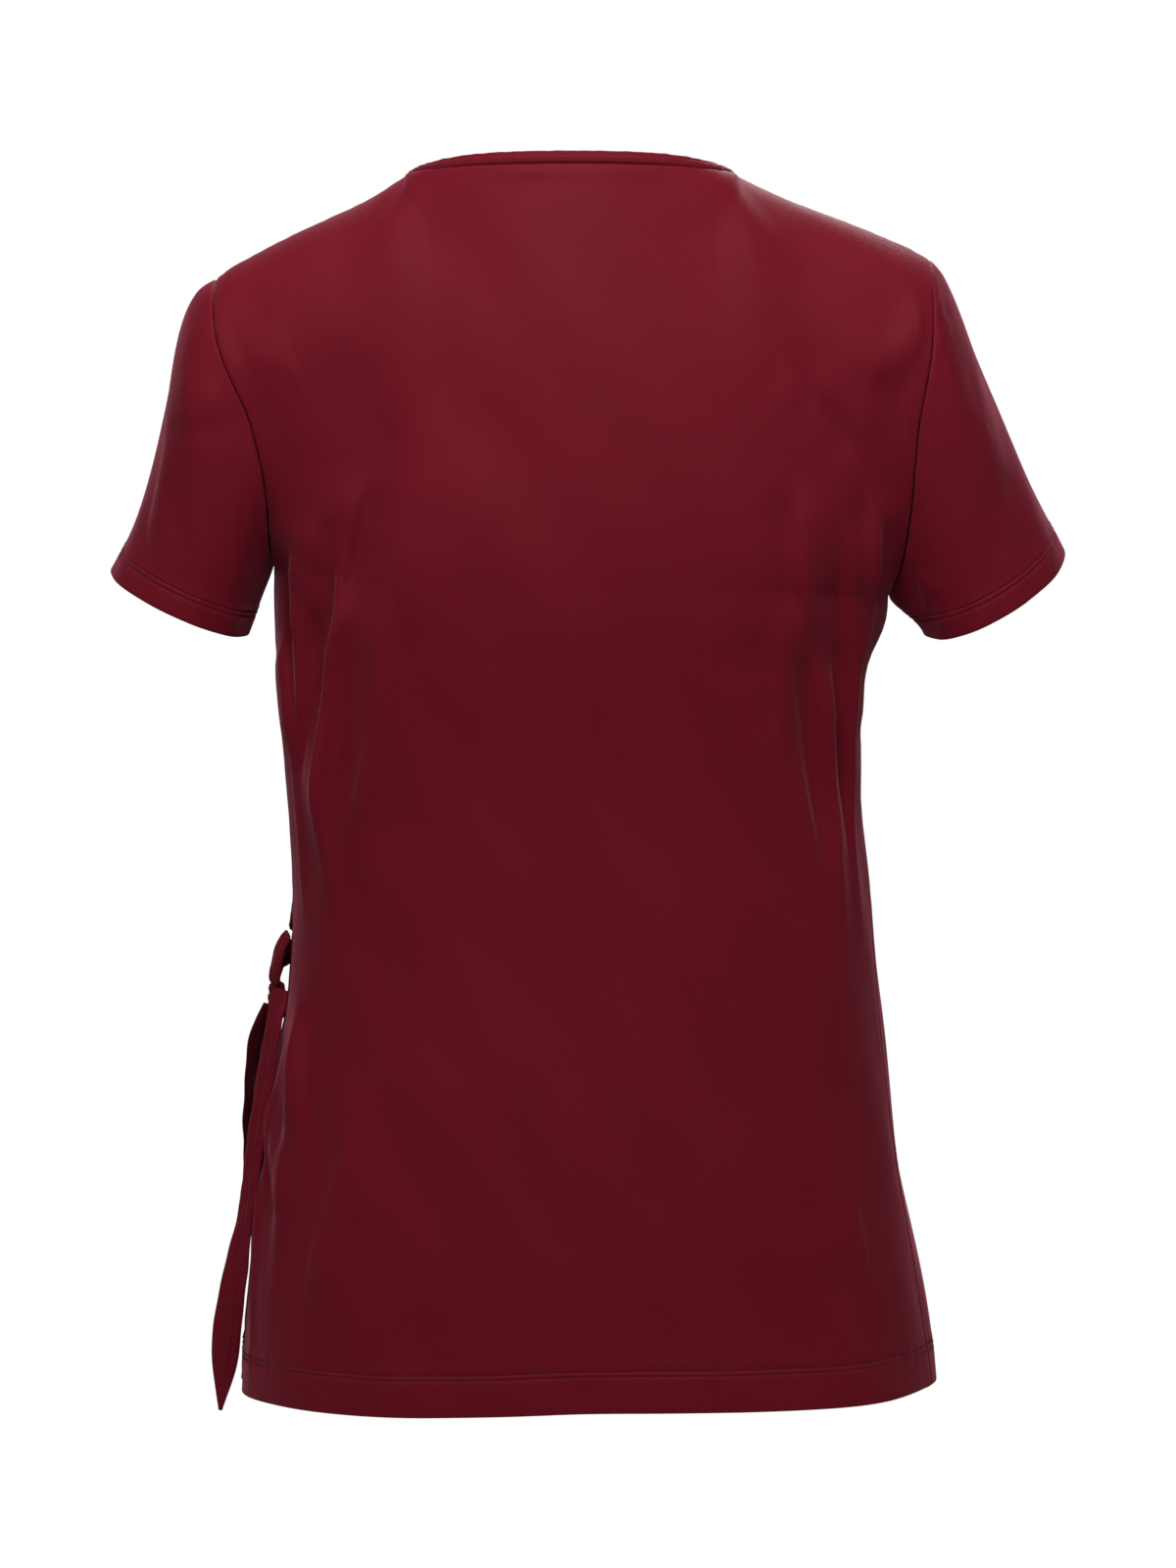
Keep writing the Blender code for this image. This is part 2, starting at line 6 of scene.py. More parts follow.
import bpy
import numpy as np
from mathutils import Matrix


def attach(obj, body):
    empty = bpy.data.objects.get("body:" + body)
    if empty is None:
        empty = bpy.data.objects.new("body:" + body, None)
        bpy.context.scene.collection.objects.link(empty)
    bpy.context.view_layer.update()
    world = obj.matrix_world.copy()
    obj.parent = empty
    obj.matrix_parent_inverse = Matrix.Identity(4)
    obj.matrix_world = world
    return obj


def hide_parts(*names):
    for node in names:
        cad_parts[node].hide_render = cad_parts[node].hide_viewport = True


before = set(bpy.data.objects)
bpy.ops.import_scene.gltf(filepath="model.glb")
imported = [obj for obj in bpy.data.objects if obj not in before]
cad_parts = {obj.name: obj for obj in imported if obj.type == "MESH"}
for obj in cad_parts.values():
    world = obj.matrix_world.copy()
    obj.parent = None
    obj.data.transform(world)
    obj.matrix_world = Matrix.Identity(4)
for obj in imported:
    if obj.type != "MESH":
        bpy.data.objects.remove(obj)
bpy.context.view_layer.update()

# ---- studio -----------------------------------------------------------------
# A small pale matt floor well under the hem and an even white surround.  Softboxes behind
# and before the top stand above it, so that the shoulders are lighter than the skirt, and
# two weaker ones at its sides light the edges and leave shadow under the sleeves.
FLOOR_HEIGHT = -0.95
FLOOR_SIZE = 1.6
FLOOR_TONE = (0.88, 0.88, 0.88, 1.0)
SURROUND = 0.15          # strength of the white round the top, and of what is seen behind it
BACKDROP = 1.0
LAMPS = {
    "name":  ("softbox_behind", "softbox_before", "softbox_left", "softbox_right", "softbox_above"),
    "x":     (0.05, -0.20, 1.50, -1.50, 0.0),
    "y":     (1.05, -1.20, 0.30, 0.30, 0.25),
    "z":     (0.78, 0.80, 0.05, 0.05, 1.10),
    "aim_z": (-0.20, -0.25, -0.35, -0.35, -0.20),
    "size":  (0.60, 0.70, 0.90, 0.90, 0.70),
    "power": (22.5, 22.0, 2.5, 2.5, 9.0),
}


def shader_of(material):
    material.use_nodes = True
    return material.node_tree.nodes["Principled BSDF"]


floor_mesh = bpy.data.meshes.new("floor")
floor_edge = FLOOR_SIZE / 2
floor_mesh.from_pydata([(-floor_edge, -floor_edge, FLOOR_HEIGHT), (floor_edge, -floor_edge, FLOOR_HEIGHT),
                        (floor_edge, floor_edge, FLOOR_HEIGHT), (-floor_edge, floor_edge, FLOOR_HEIGHT)],
                       [], [(0, 1, 2, 3)])
floor = bpy.data.objects.new("floor", floor_mesh)
bpy.context.scene.collection.objects.link(floor)
floor_finish = bpy.data.materials.new("pale_floor")
floor_shader = shader_of(floor_finish)
floor_shader.inputs["Base Color"].default_value = FLOOR_TONE
floor_shader.inputs["Roughness"].default_value = 0.9
floor_mesh.materials.append(floor_finish)

world = bpy.data.worlds.new("white_surround")
world.use_nodes = True
around = world.node_tree.nodes["Background"]
around.inputs["Color"].default_value = (1.0, 1.0, 1.0, 1.0)
around.inputs["Strength"].default_value = SURROUND
behind = world.node_tree.nodes.new("ShaderNodeBackground")
behind.inputs["Color"].default_value = (1.0, 1.0, 1.0, 1.0)
behind.inputs["Strength"].default_value = BACKDROP
ray = world.node_tree.nodes.new("ShaderNodeLightPath")
either = world.node_tree.nodes.new("ShaderNodeMixShader")
world.node_tree.links.new(ray.outputs["Is Camera Ray"], either.inputs["Fac"])
world.node_tree.links.new(around.outputs["Background"], either.inputs[1])
world.node_tree.links.new(behind.outputs["Background"], either.inputs[2])
world.node_tree.links.new(either.outputs["Shader"], world.node_tree.nodes["World Output"].inputs["Surface"])
bpy.context.scene.world = world
bpy.context.scene.view_settings.view_transform = "Standard"

for name, x, y, z, aim_z, size, lamp_power in zip(*LAMPS.values()):
    lamp_light = bpy.data.lights.new(name, "AREA")
    lamp_light.shape = "SQUARE"
    lamp_light.size = size
    lamp_light.energy = lamp_power
    lamp = bpy.data.objects.new(name, lamp_light)
    lamp.location = (x, y, z)
    lamp.rotation_euler = (np.arctan2(np.hypot(x, y), z - aim_z), 0.0, np.arctan2(x, -y))
    bpy.context.scene.collection.objects.link(lamp)

# The view from straight behind, level, from three metres away.
CAMERA_PLACE = (-0.0091, 3.0, -0.126)
VIEW_HEIGHT = 0.856
VIEW_MIDDLE = -0.3317
SENSOR = 24.0
camera_lens = bpy.data.cameras.new("camera")
camera_lens.sensor_fit = "VERTICAL"
camera_lens.sensor_height = SENSOR
camera_lens.lens = SENSOR * CAMERA_PLACE[1] / VIEW_HEIGHT
camera_lens.shift_y = (VIEW_MIDDLE - CAMERA_PLACE[2]) / VIEW_HEIGHT
camera = bpy.data.objects.new("camera", camera_lens)
camera.location = CAMERA_PLACE
camera.rotation_euler = (np.pi / 2, 0.0, np.pi)
bpy.context.scene.collection.objects.link(camera)
bpy.context.scene.camera = camera

# ---- back -------------------------------------------------------------------
# One piece of jersey from shoulder to hem.  It is sewn to the fronts at the sides and
# shoulders and to the sleeves at the armholes, and its hem is turned up and stitched
# with two needles.  It hangs in soft folds from the armholes and beside the tie.
NECK_HALF = 0.0905       # centre of the neck to a neck side point
NECK_DEPTH = 0.060       # how far back the neck seam reaches
NECK_RISE = 0.0046       # height of the back neck seam above the neck side points
FRONT_DIP = 0.030        # depth of the fronts' top row at the centre
NECK_SHARE = 0.50        # share of a panel's half width that the neck takes on its top row
ARMHOLE_REACH = 0.055    # armhole from the side plane to its back or front edge
HEM_MID = -0.6525
ELLIPSE = 0.87           # exponent that squares the ellipse of the body a little
YOKE_EASE = 0.018        # how much flatter the panels lie towards the armholes
CORNER_EASE = 0.22       # how far each neck side corner is eased over the cloth below it
CORNER_REACH = 0.24      # and how near to it
CORNER_SAMPLES = 7       # places that the eased corner is the mean of
GIRTH = 0.14             # mean radius of the body, to measure across the large folds
SIDE_LAP = 0.00012       # how far back and fronts reach past the side plane into each other
JERSEY = 0.0008          # thickness of the cloth
LAYER_GAP = 0.0001       # between the two layers of a turned hem
ALLOWANCE = 0.0050       # width of the cloth turned in at a seam, and its rows
ALLOWANCE_ROWS = 3
ROLL_DROP = 0.0006       # how deep a seam pulls the cloth in, and how near to it
ROLL_REACH = 0.0021
HEM_DEPTH = 0.0228       # depth of the turned-up hem and its two stitch rows
HEM_STITCHES = (0.0182, 0.0209)
STITCH_SINK = 0.00050    # how deep a row of stitches presses the cloth
STITCH_DENT = 0.0007     # and how near to it
HEM_PROUD = 0.00045      # how far the two layers of a hem stand out
STITCH_MARGIN = 0.0012   # close rows on either side of the stitches, and the step between rows
STITCH_STEP = 0.00036
HELD_FROM = 0.001        # creases begin this far inside a seam, and are whole this far in
HELD_TO = 0.012
GATHER = 0.00009         # height of the small gathers along sewing, and how far they reach
GATHER_REACH = 0.006
SLACK = 0.00040          # height of each slow wave of the worn cloth

# half rings of the body: height, left and right side, depth of back and front, and
# how many degrees each side seam sits behind the side plane
BODY = {
    "z":          (-0.660, -0.632, -0.583, -0.540, -0.498, -0.439,
                   -0.388, -0.327, -0.276, -0.255, -0.229, -0.205),
    "left":       (0.1790, 0.1778, 0.1736, 0.1698, 0.1638, 0.1530,
                   0.1522, 0.1557, 0.1600, 0.1614, 0.1622, 0.1628),
    "right":      (0.1995, 0.1958, 0.1878, 0.1795, 0.1735, 0.1672,
                   0.1630, 0.1574, 0.1600, 0.1635, 0.1728, 0.1810),
    "back":       (0.1240, 0.1222, 0.1180, 0.1130, 0.1080, 0.1012,
                   0.0970, 0.0952, 0.0970, 0.0980, 0.0991, 0.0996),
    "front":      (0.1280, 0.1265, 0.1230, 0.1190, 0.1150, 0.1100,
                   0.1070, 0.1100, 0.1190, 0.1225, 0.1260, 0.1270),
    "seam_left":  (2.0, 2.0, 2.0, 2.0, 2.0, 1.5, 1.0, 0.5, 0.0, 0.0, 0.0, 0.0),
    "seam_right": (13.0, 13.0, 12.0, 11.0, 10.0, 9.0, 7.0, 4.0, 1.0, 0.5, 0.0, 0.0),
}
HEM = {
    "share": (-1.0, -0.57, -0.30, 0.0, 0.20, 0.37, 0.60, 1.0),
    "z":     (-0.6530, -0.6543, -0.6530, -0.6525, -0.6553, -0.6573, -0.6578, -0.6600),
}
SHOULDER_LEFT = {
    "x": (0.0905, 0.1083, 0.1321, 0.1562, 0.1766, 0.1885, 0.1935),
    "z": (0.0000, -0.0112, -0.0228, -0.0340, -0.0450, -0.0520, -0.0560),
}
SHOULDER_RIGHT = {
    "x": (0.0905, 0.1033, 0.1169, 0.1340, 0.1509, 0.1715, 0.1851, 0.1950),
    "z": (0.0000, -0.0062, -0.0124, -0.0191, -0.0254, -0.0338, -0.0398, -0.0455),
}
ARMHOLE_LEFT = {
    "z": (-0.2130, -0.1996, -0.1790, -0.1616, -0.1439, -0.1247, -0.1070, -0.0892, -0.0728, -0.0550),
    "x": (0.1622, 0.1629, 0.1636, 0.1656, 0.1696, 0.1738, 0.1790, 0.1846, 0.1888, 0.1935),
}
ARMHOLE_RIGHT = {
    "z": (-0.2290, -0.2130, -0.1926, -0.1580, -0.1268, -0.1120, -0.0923, -0.0700, -0.0580, -0.0460),
    "x": (0.1728, 0.1780, 0.1815, 0.1846, 0.1873, 0.1894, 0.1925, 0.1944, 0.1946, 0.1950),
}
# largest folds: degrees round from the centre back towards the wearer's left, and height
FOLDS = {
    "turn_start": (66.0, 60.0, 72.0, 50.0, -58.0, -66.0, -50.0, 70.0, 66.0, 80.0, 150.0, -140.0, 120.0),
    "z_start":    (-0.225, -0.255, -0.300, -0.420, -0.260, -0.240, -0.320, -0.450, -0.440, -0.490, -0.400,
                   -0.300, -0.420),
    "turn_end":   (62.0, 55.0, 70.0, 38.0, -60.0, -70.0, -54.0, 52.0, 64.0, 76.0, 190.0, -150.0, 126.0),
    "z_end":      (-0.330, -0.400, -0.400, -0.560, -0.420, -0.400, -0.420, -0.560, -0.600, -0.640, -0.330,
                   -0.460, -0.620),
    "half_width": (0.0080, 0.0110, 0.0060, 0.0160, 0.0080, 0.0070, 0.0070, 0.0080, 0.0080, 0.0060, 0.0120,
                   0.0120, 0.0100),
    "height":     (0.0022, 0.0030, 0.0014, 0.0014, 0.0024, 0.0022, 0.0014, 0.0022, 0.0026, 0.0022, 0.0024,
                   0.0024, 0.0026),
}
# creases of the back: across is along the cloth from the centre back, towards the
# wearer's left, and up is the height.  On the way out to the side the cloth rises at a
# crease of positive height and falls at a negative one.
BACK_CREASES = {
    "across_start": (.1203, .1275, .1362, .1624, .1854, .1674, .1042, .1011, .1506, .2076, .1841,
                     .1755, .2049, .1985, .1194, .1627, .0950),
    "up_start":     (-.1598, -.2150, -.2014, -.2233, -.2444, -.2019, -.2322, -.2213, -.1808,
                     -.4544, -.4567, -.4356, -.5168, -.5179, -.5024, -.0810, -.1200),
    "across_mid":   (.1290, .1345, .1392, .1579, .1708, .1748, .1089, .1040, .1513, .2133, .1854,
                     .1647, .2157, .1952, .1448, .1789, .1080),
    "up_mid":       (-.2000, -.2950, -.2647, -.2752, -.2758, -.2283, -.2956, -.2947, -.2069,
                     -.4857, -.4878, -.4756, -.5403, -.5378, -.5529, -.0914, -.2100),
    "across_end":   (.1350, .1465, .1495, .1674, .1690, .1622, .1295, .1190, .1591, .1697, .1652,
                     .1576, .1804, .1755, .1615, .1870, .1180),
    "up_end":       (-.2486, -.3800, -.3557, -.3290, -.3190, -.2541, -.3533, -.3899, -.2334,
                     -.5398, -.5287, -.5253, -.5686, -.5663, -.6125, -.1073, -.3150),
    "half_width":   (.0060, .0038, .0060, .0040, .0030, .0060, .0090, .0080, .0040, .0050, .0045,
                     .0060, .0038, .0040, .0110, .0100, .0180),
    "height":       (.0028, .0040, -.0042, .0036, .0028, -.0031, -.0028, .0034, .0020, .0010,
                     -.0010, .0012, .0012, -.0012, -.0017, -.0011, -.0018),
}
BACK_CREASES_RIGHT = {
    "across_start": (-.1125, -.1296, -.1341, -.1548, -.1632, -.1425, -.1694, -.1157, -.1011, -.1516, -.1161,
                     -.1084, -.1875, -.1959),
    "up_start":     (-.1645, -.2487, -.1752, -.1649, -.1807, -.2482, -.2332, -.2428, -.2325, -.5430, -.1087,
                     -.1025, -.1099, -.0653),
    "across_mid":   (-.1152, -.1438, -.1614, -.1594, -.1674, -.1573, -.1832, -.1298, -.1092, -.1604, -.1363,
                     -.1265, -.1698, -.1827),
    "up_mid":       (-.2060, -.3118, -.2759, -.2070, -.2122, -.3123, -.2715, -.3059, -.2738, -.5665, -.1285,
                     -.1240, -.1099, -.0813),
    "across_end":   (-.1252, -.1498, -.1662, -.1766, -.1796, -.1606, -.1806, -.1375, -.1121, -.1606, -.1573,
                     -.1426, -.1542, -.1709),
    "up_end":       (-.2486, -.3806, -.3821, -.2443, -.2390, -.3820, -.3089, -.3803, -.3160, -.5976, -.1482,
                     -.1450, -.1177, -.0978),
    "half_width":   (.0060, .0040, .0036, .0035, .0035, .0045, .0050, .0090, .0060, .0080, .0060,
                     .0060, .0080, .0100),
    "height":       (.0028, .0032, .0036, .0024, -.0020, -.0020, -.0025, -.0017, .0012, -.0011, .0020,
                     -.0014, -.0020, .0024),
}
BODY_OVAL = (0.165, 0.100)  # half width and half depth of the ellipse that folds rise from
CREASE_RUNS = 14         # straight runs that a bowed crease is measured from
FINEST = 0.0055          # narrowest half width of a crease
STEP_SHARE = 1.80        # how far the cloth steps at a crease, as a share of its height
SKIRT_ROWS = 64
YOKE_ROWS = 48
BACK_COLUMNS = 280
EDGE_CROWD = 0.42        # how much closer the columns lie at the seams
EDGE_COLUMNS = 8         # columns that the dip at a seam covers
NECK_BULGE = 0.0011      # the cloth swells a little under the back of the neck binding,
NECK_BULGE_PLACE = 0.0048    # this far below the seam, over this reach, and fades to the sides
NECK_BULGE_REACH = 0.0032
NECK_BULGE_FADE = (0.018, 0.050)


def cubic(part, start, leave, end, arrive):
    """The cubic from start to end as part runs from 0 to 1, with its slope at either end."""
    return ((2 * part**3 - 3 * part**2 + 1) * start + (part**3 - 2 * part**2 + part) * leave
            + (3 * part**2 - 2 * part**3) * end + (part**3 - part**2) * arrive)


def read_table(table, key, name, where):
    """A smooth curve through a table's rows: a cubic between two rows, with the slopes
    of the neighbouring rows."""
    places = np.array(table[key], dtype=float)
    values = np.array(table[name], dtype=float)
    order = np.argsort(places)
    places, values = places[order], values[order]
    slopes = np.gradient(values, places)
    where = np.clip(where, places[0], places[-1])
    low = np.clip(np.searchsorted(places, where) - 1, 0, len(places) - 2)
    run = places[low + 1] - places[low]
    part = (where - places[low]) / run
    return cubic(part, values[low], run * slopes[low], values[low + 1], run * slopes[low + 1])


def smooth(low, high, value):
    """0 below low, 1 above high, and an S curve between them."""
    part = np.clip((value - low) / (high - low), 0.0, 1.0)
    return part * part * (3.0 - 2.0 * part)


def power(value, exponent):
    return np.sign(value) * np.abs(value) ** exponent


def unit(vectors):
    return vectors / np.maximum(np.linalg.norm(vectors, axis=-1, keepdims=True), 1e-12)


def large_folds(turn, height):
    """The large folds' height at each point: a soft ridge along each row's line, with a
    bell curve across it and faded ends."""
    total = np.zeros(np.broadcast(turn, height).shape)
    for turn_start, z_start, turn_end, z_end, half_width, ridge in zip(*FOLDS.values()):
        along = (height - z_start) / (z_end - z_start)
        middle = turn_start + (turn_end - turn_start) * along
        across = np.radians((turn - middle + 180.0) % 360.0 - 180.0) * GIRTH
        ends = smooth(-0.15, 0.25, along) * (1.0 - smooth(0.70, 1.15, along))
        total = total + ridge * ends * np.exp(-(across / half_width) ** 2)
    return total


def lower_body(turn, height, offset):
    """The body below the armholes: at each height a slightly squared ellipse, whose sides
    and depths come from the table of half rings; turn is 0 at the centre back."""
    left = read_table(BODY, "z", "left", height)
    right = read_table(BODY, "z", "right", height)
    angle = np.radians(turn)
    depth = np.where(np.cos(angle) >= 0, read_table(BODY, "z", "back", height),
                     read_table(BODY, "z", "front", height))
    swell = offset + large_folds(turn, height)
    x = (left - right) / 2 + ((left + right) / 2 + swell) * power(np.sin(angle), ELLIPSE)
    return x, (depth + swell) * power(np.cos(angle), ELLIPSE)


def top_line(share, facing):
    """A panel's top row: shoulder seam, a quarter-wave neck line, shoulder seam."""
    size = np.abs(share)
    out = np.clip((size - NECK_SHARE) / (1.0 - NECK_SHARE), 0.0, 1.0)
    neck = np.clip(size / NECK_SHARE, 0.0, 1.0)
    reach = np.where(share >= 0, SHOULDER_LEFT["x"][-1], SHOULDER_RIGHT["x"][-1])
    distance = np.where(size < NECK_SHARE, NECK_HALF * np.sin(neck * np.pi / 2),
                        NECK_HALF + (reach - NECK_HALF) * out)
    seam = np.where(share >= 0, read_table(SHOULDER_LEFT, "x", "z", distance),
                    read_table(SHOULDER_RIGHT, "x", "z", distance))
    dip = np.cos(neck * np.pi / 2)
    rise = NECK_RISE * dip**0.8 if facing > 0 else -FRONT_DIP * dip
    return np.sign(share) * distance, facing * NECK_DEPTH * dip, np.where(size < NECK_SHARE, rise, seam)


def upper_body(share, level, facing, offset):
    """The body between the armholes: each row is an arc from armhole to armhole, bulging
    to the back or the front, and the rows turn over the shoulders to the top row."""
    corner = np.exp(-((np.abs(share) - NECK_SHARE) / CORNER_REACH) ** 2)
    blur = np.minimum(CORNER_EASE * corner * smooth(0.0, 0.16, 1.0 - level), 1.0 - np.abs(share))
    lines = [top_line(share + blur * step, facing) for step in np.linspace(-1.0, 1.0, CORNER_SAMPLES)]
    top_x, top_y, top_z = (sum(values) / len(lines) for values in zip(*lines))
    side = (share + 1) / 2
    under_z = ARMHOLE_RIGHT["z"][0] + (ARMHOLE_LEFT["z"][0] - ARMHOLE_RIGHT["z"][0]) * side
    height = under_z + (top_z - under_z) * level
    left_z = ARMHOLE_LEFT["z"][0] + (SHOULDER_LEFT["z"][-1] - ARMHOLE_LEFT["z"][0]) * level
    right_z = ARMHOLE_RIGHT["z"][0] + (SHOULDER_RIGHT["z"][-1] - ARMHOLE_RIGHT["z"][0]) * level
    left = read_table(ARMHOLE_LEFT, "z", "x", left_z)
    right = read_table(ARMHOLE_RIGHT, "z", "x", right_z)
    deep = read_table(BODY, "z", "back" if facing > 0 else "front", height)
    deep = deep - YOKE_EASE * np.abs(share) * smooth(0.0, 0.5, level)
    shape = ELLIPSE + (1.0 - ELLIPSE) * smooth(0.0, 0.35, level)
    widest = ARMHOLE_REACH * np.sqrt(1.0 - (2.0 * np.minimum(level, 0.5) - 1.0) ** 2)
    spread = np.arccos(np.clip(widest / deep, 0.0, 0.9) ** (1.0 / shape))
    to_top = smooth(0.45, 1.0, level)
    arc_x = power(np.sin(share * spread) / np.sin(spread), shape)
    end_bow = np.cos(spread) ** shape
    bow = np.clip(np.cos(share * spread), 0.0, 1.0) ** shape
    bow = np.clip((bow - end_bow) / (1.0 - end_bow), 0.0, 1.0)
    bow = bow + (1.0 - bow) * to_top
    x = (left - right) / 2 + (left + right) / 2 * arc_x
    x = x + (top_x - x) * to_top
    roll = 1.0 - 0.5 * smooth(0.15, NECK_SHARE, np.abs(share))
    column_y = facing * top_y + (deep - facing * top_y) * np.clip(1.0 - level**2.2, 0.0, 1.0) ** roll
    armhole = ARMHOLE_REACH * np.sqrt(np.clip(1.0 - (2.0 * level - 1.0) ** 2, 0.0, 1.0))
    y = armhole + (column_y - armhole) * bow
    lift = smooth(0.0, 0.3, y / np.maximum(deep, 0.01))
    return x, facing * (y + offset * lift), height + offset * (1.0 - lift) * to_top


def panel_point(share, level, facing, offset=0.0):
    """A panel's surface: share -1 (wearer's right) to 1 (left); level -1 at the hem, 0 at
    the underarm and 1 at the top; facing 1 for the back and -1 for a front."""
    share, level, offset = np.broadcast_arrays(share, level, offset)
    under_z = ARMHOLE_RIGHT["z"][0] + (ARMHOLE_LEFT["z"][0] - ARMHOLE_RIGHT["z"][0]) * (share + 1) / 2
    hem_z = read_table(HEM, "share", "z", share)
    height = under_z + (hem_z - under_z) * np.clip(-level, 0.0, 1.0)
    seam_left = read_table(BODY, "z", "seam_left", height)
    seam_right = read_table(BODY, "z", "seam_right", height)
    if facing > 0:
        turn = share * (90.0 - np.where(share >= 0, seam_left, seam_right))
    else:
        turn = 180.0 - share * (90.0 + np.where(share >= 0, seam_left, seam_right))
    x_low, y_low = lower_body(turn, height, offset)
    x_top, y_top, z_top = upper_body(share, np.clip(level, 0.0, 1.0), facing, offset)
    under_x, under_y, _ = upper_body(share, np.zeros_like(level), facing, offset)
    ease = smooth(0.0, 0.10, -level)
    x_low = under_x + (x_low - under_x) * ease
    y_low = under_y + (y_low - under_y) * ease
    low = level < 0
    return np.stack([np.where(low, x_low, x_top), np.where(low, y_low, y_top) - facing * SIDE_LAP,
                     np.where(low, height, z_top)], axis=-1)


def out_of_cloth(grid, way):
    """Unit directions out of the cloth: the cross product of the grid's two runs."""
    return unit(np.cross(np.gradient(grid, axis=0), np.gradient(grid, axis=1))) * way


def line_at(form, way, depth):
    """The line over a piece at an even depth from its first row, and the way out of it."""
    run = run_along(form, 0)
    low = np.clip(np.sum(run < depth, axis=0) - 1, 0, len(run) - 2)
    column = np.arange(form.shape[1])
    part = ((depth - run[low, column]) / (run[low + 1, column] - run[low, column]))[:, None]
    out = out_of_cloth(form, way)
    return (form[low, column] * (1 - part) + form[low + 1, column] * part,
            unit(out[low, column] * (1 - part) + out[low + 1, column] * part))


def fold_way(grid):
    """The way that folds rise: out of an upright ellipse, (x/a2, y/b2), turning upwards
    over the shoulders.  It changes slowly, so folds run on over seams of the form."""
    up = smooth(-0.14, 0.02, grid[..., 2]) / BODY_OVAL[1]
    return unit(np.stack([grid[..., 0] / BODY_OVAL[0] ** 2, grid[..., 1] / BODY_OVAL[1] ** 2, up], axis=-1))


def run_along(grid, axis):
    """Distance run along the grid's rows or columns, from its first line."""
    steps = np.linalg.norm(np.diff(grid, axis=axis), axis=2)
    start = np.zeros_like(steps[:1] if axis == 0 else steps[:, :1])
    return np.concatenate([start, np.cumsum(steps, axis=axis)], axis=axis)


def crease_height(across, up, *tables):
    """Height of the creases: each table row is a bowed line through three points, where the
    cloth steps up (or down, if its height is negative) on the way out to the side seam.
    At a distance d the step is (1 - e^(-d/0.6w)) e^(-d/3w), and it fades at its ends."""
    total = np.zeros(across.shape)
    part_way = np.linspace(0.0, 1.0, CREASE_RUNS + 1)
    for table in tables:
        for a0, u0, a1, u1, a2, u2, half_width, height in zip(*table.values()):
            weights = ((1 - part_way) ** 2, 2 * part_way * (1 - part_way), part_way**2)
            line_a = weights[0] * a0 + weights[1] * (2 * a1 - (a0 + a2) / 2) + weights[2] * a2
            line_u = weights[0] * u0 + weights[1] * (2 * u1 - (u0 + u2) / 2) + weights[2] * u2
            nearest = np.full(across.shape, 1.0)
            place = np.zeros(across.shape)
            outside = np.zeros(across.shape)
            for run in range(CREASE_RUNS):
                step_a, step_u = line_a[run + 1] - line_a[run], line_u[run + 1] - line_u[run]
                part = np.clip(((across - line_a[run]) * step_a + (up - line_u[run]) * step_u)
                               / (step_a**2 + step_u**2), 0.0, 1.0)
                gap = np.hypot(across - line_a[run] - part * step_a, up - line_u[run] - part * step_u)
                place = np.where(gap < nearest, (run + part) / CREASE_RUNS, place)
                turned = np.sign((up - line_u[run]) * step_a - (across - line_a[run]) * step_u)
                outside = np.where(gap < nearest, turned * np.sign(a1), outside)
                nearest = np.minimum(gap, nearest)
            width = max(half_width, FINEST) * (0.65 + 0.35 * np.sin(np.pi * place))
            ends = smooth(0.0, 0.3, place) * (1.0 - smooth(0.7, 1.0, place))
            step = (1.0 - np.exp(-nearest / (0.6 * width))) * np.exp(-nearest / (3.0 * width)) * outside
            total = total + STEP_SHARE * height * ends * step
    return total


def slack(across, up):
    """Broad unevenness of worn jersey: three slow waves of different lengths and slants."""
    return SLACK * (np.sin(across * 61.0 + up * 23.0 + 1.1) + np.sin(up * 47.0 - across * 17.0 + 0.4)
                    + np.sin(across * 97.0 - up * 71.0 + 2.3))


def pucker(along):
    """Small gathers beside a row of sewing: three short waves that never quite repeat."""
    return GATHER * (np.sin(along * 520.0 + 0.7) + np.sin(along * 811.0 + 2.1)
                     + np.sin(along * 337.0 + 4.0))


def gathers(along, distance):
    """The small gathers beside sewing, which die away with the distance from it."""
    return pucker(along) * np.exp(-distance / GATHER_REACH)


def hem_gathers(along, distance, rows):
    """The small gathers over a hem, in a bell curve round its rows of stitches."""
    return pucker(along) * np.exp(-((distance - sum(rows) / len(rows)) / GATHER_REACH) ** 2)


def seam_roll(distance):
    """How far the cloth dips towards a seam, at this distance from it."""
    return -ROLL_DROP * np.clip(1.0 - distance / ROLL_REACH, 0.0, 1.0) ** 2


def hem_relief(distance, depth, rows):
    """A turned hem: two layers stand out a little, and each row of stitches presses in."""
    relief = HEM_PROUD * (1.0 - smooth(depth - 0.0012, depth + 0.0022, distance))
    for row in rows:
        relief = relief - STITCH_SINK * np.exp(-((distance - row) / STITCH_DENT) ** 2)
    return relief


def crowded(count):
    """Places from -1 to 1 that lie closer together towards both ends."""
    even = np.linspace(-1.0, 1.0, count + 1)
    return even * (1.0 + EDGE_CROWD) - EDGE_CROWD * even**3


def hem_depths(stitches, end):
    """Depths of a hem's rows: every third of a millimetre at the two rows of stitches, and
    wide apart between them and the edge."""
    first, last = stitches[0] - STITCH_MARGIN, stitches[1] + STITCH_MARGIN
    return np.concatenate([np.linspace(0.0, first, 6)[:-1], np.arange(first, last, STITCH_STEP),
                           [last, end]])


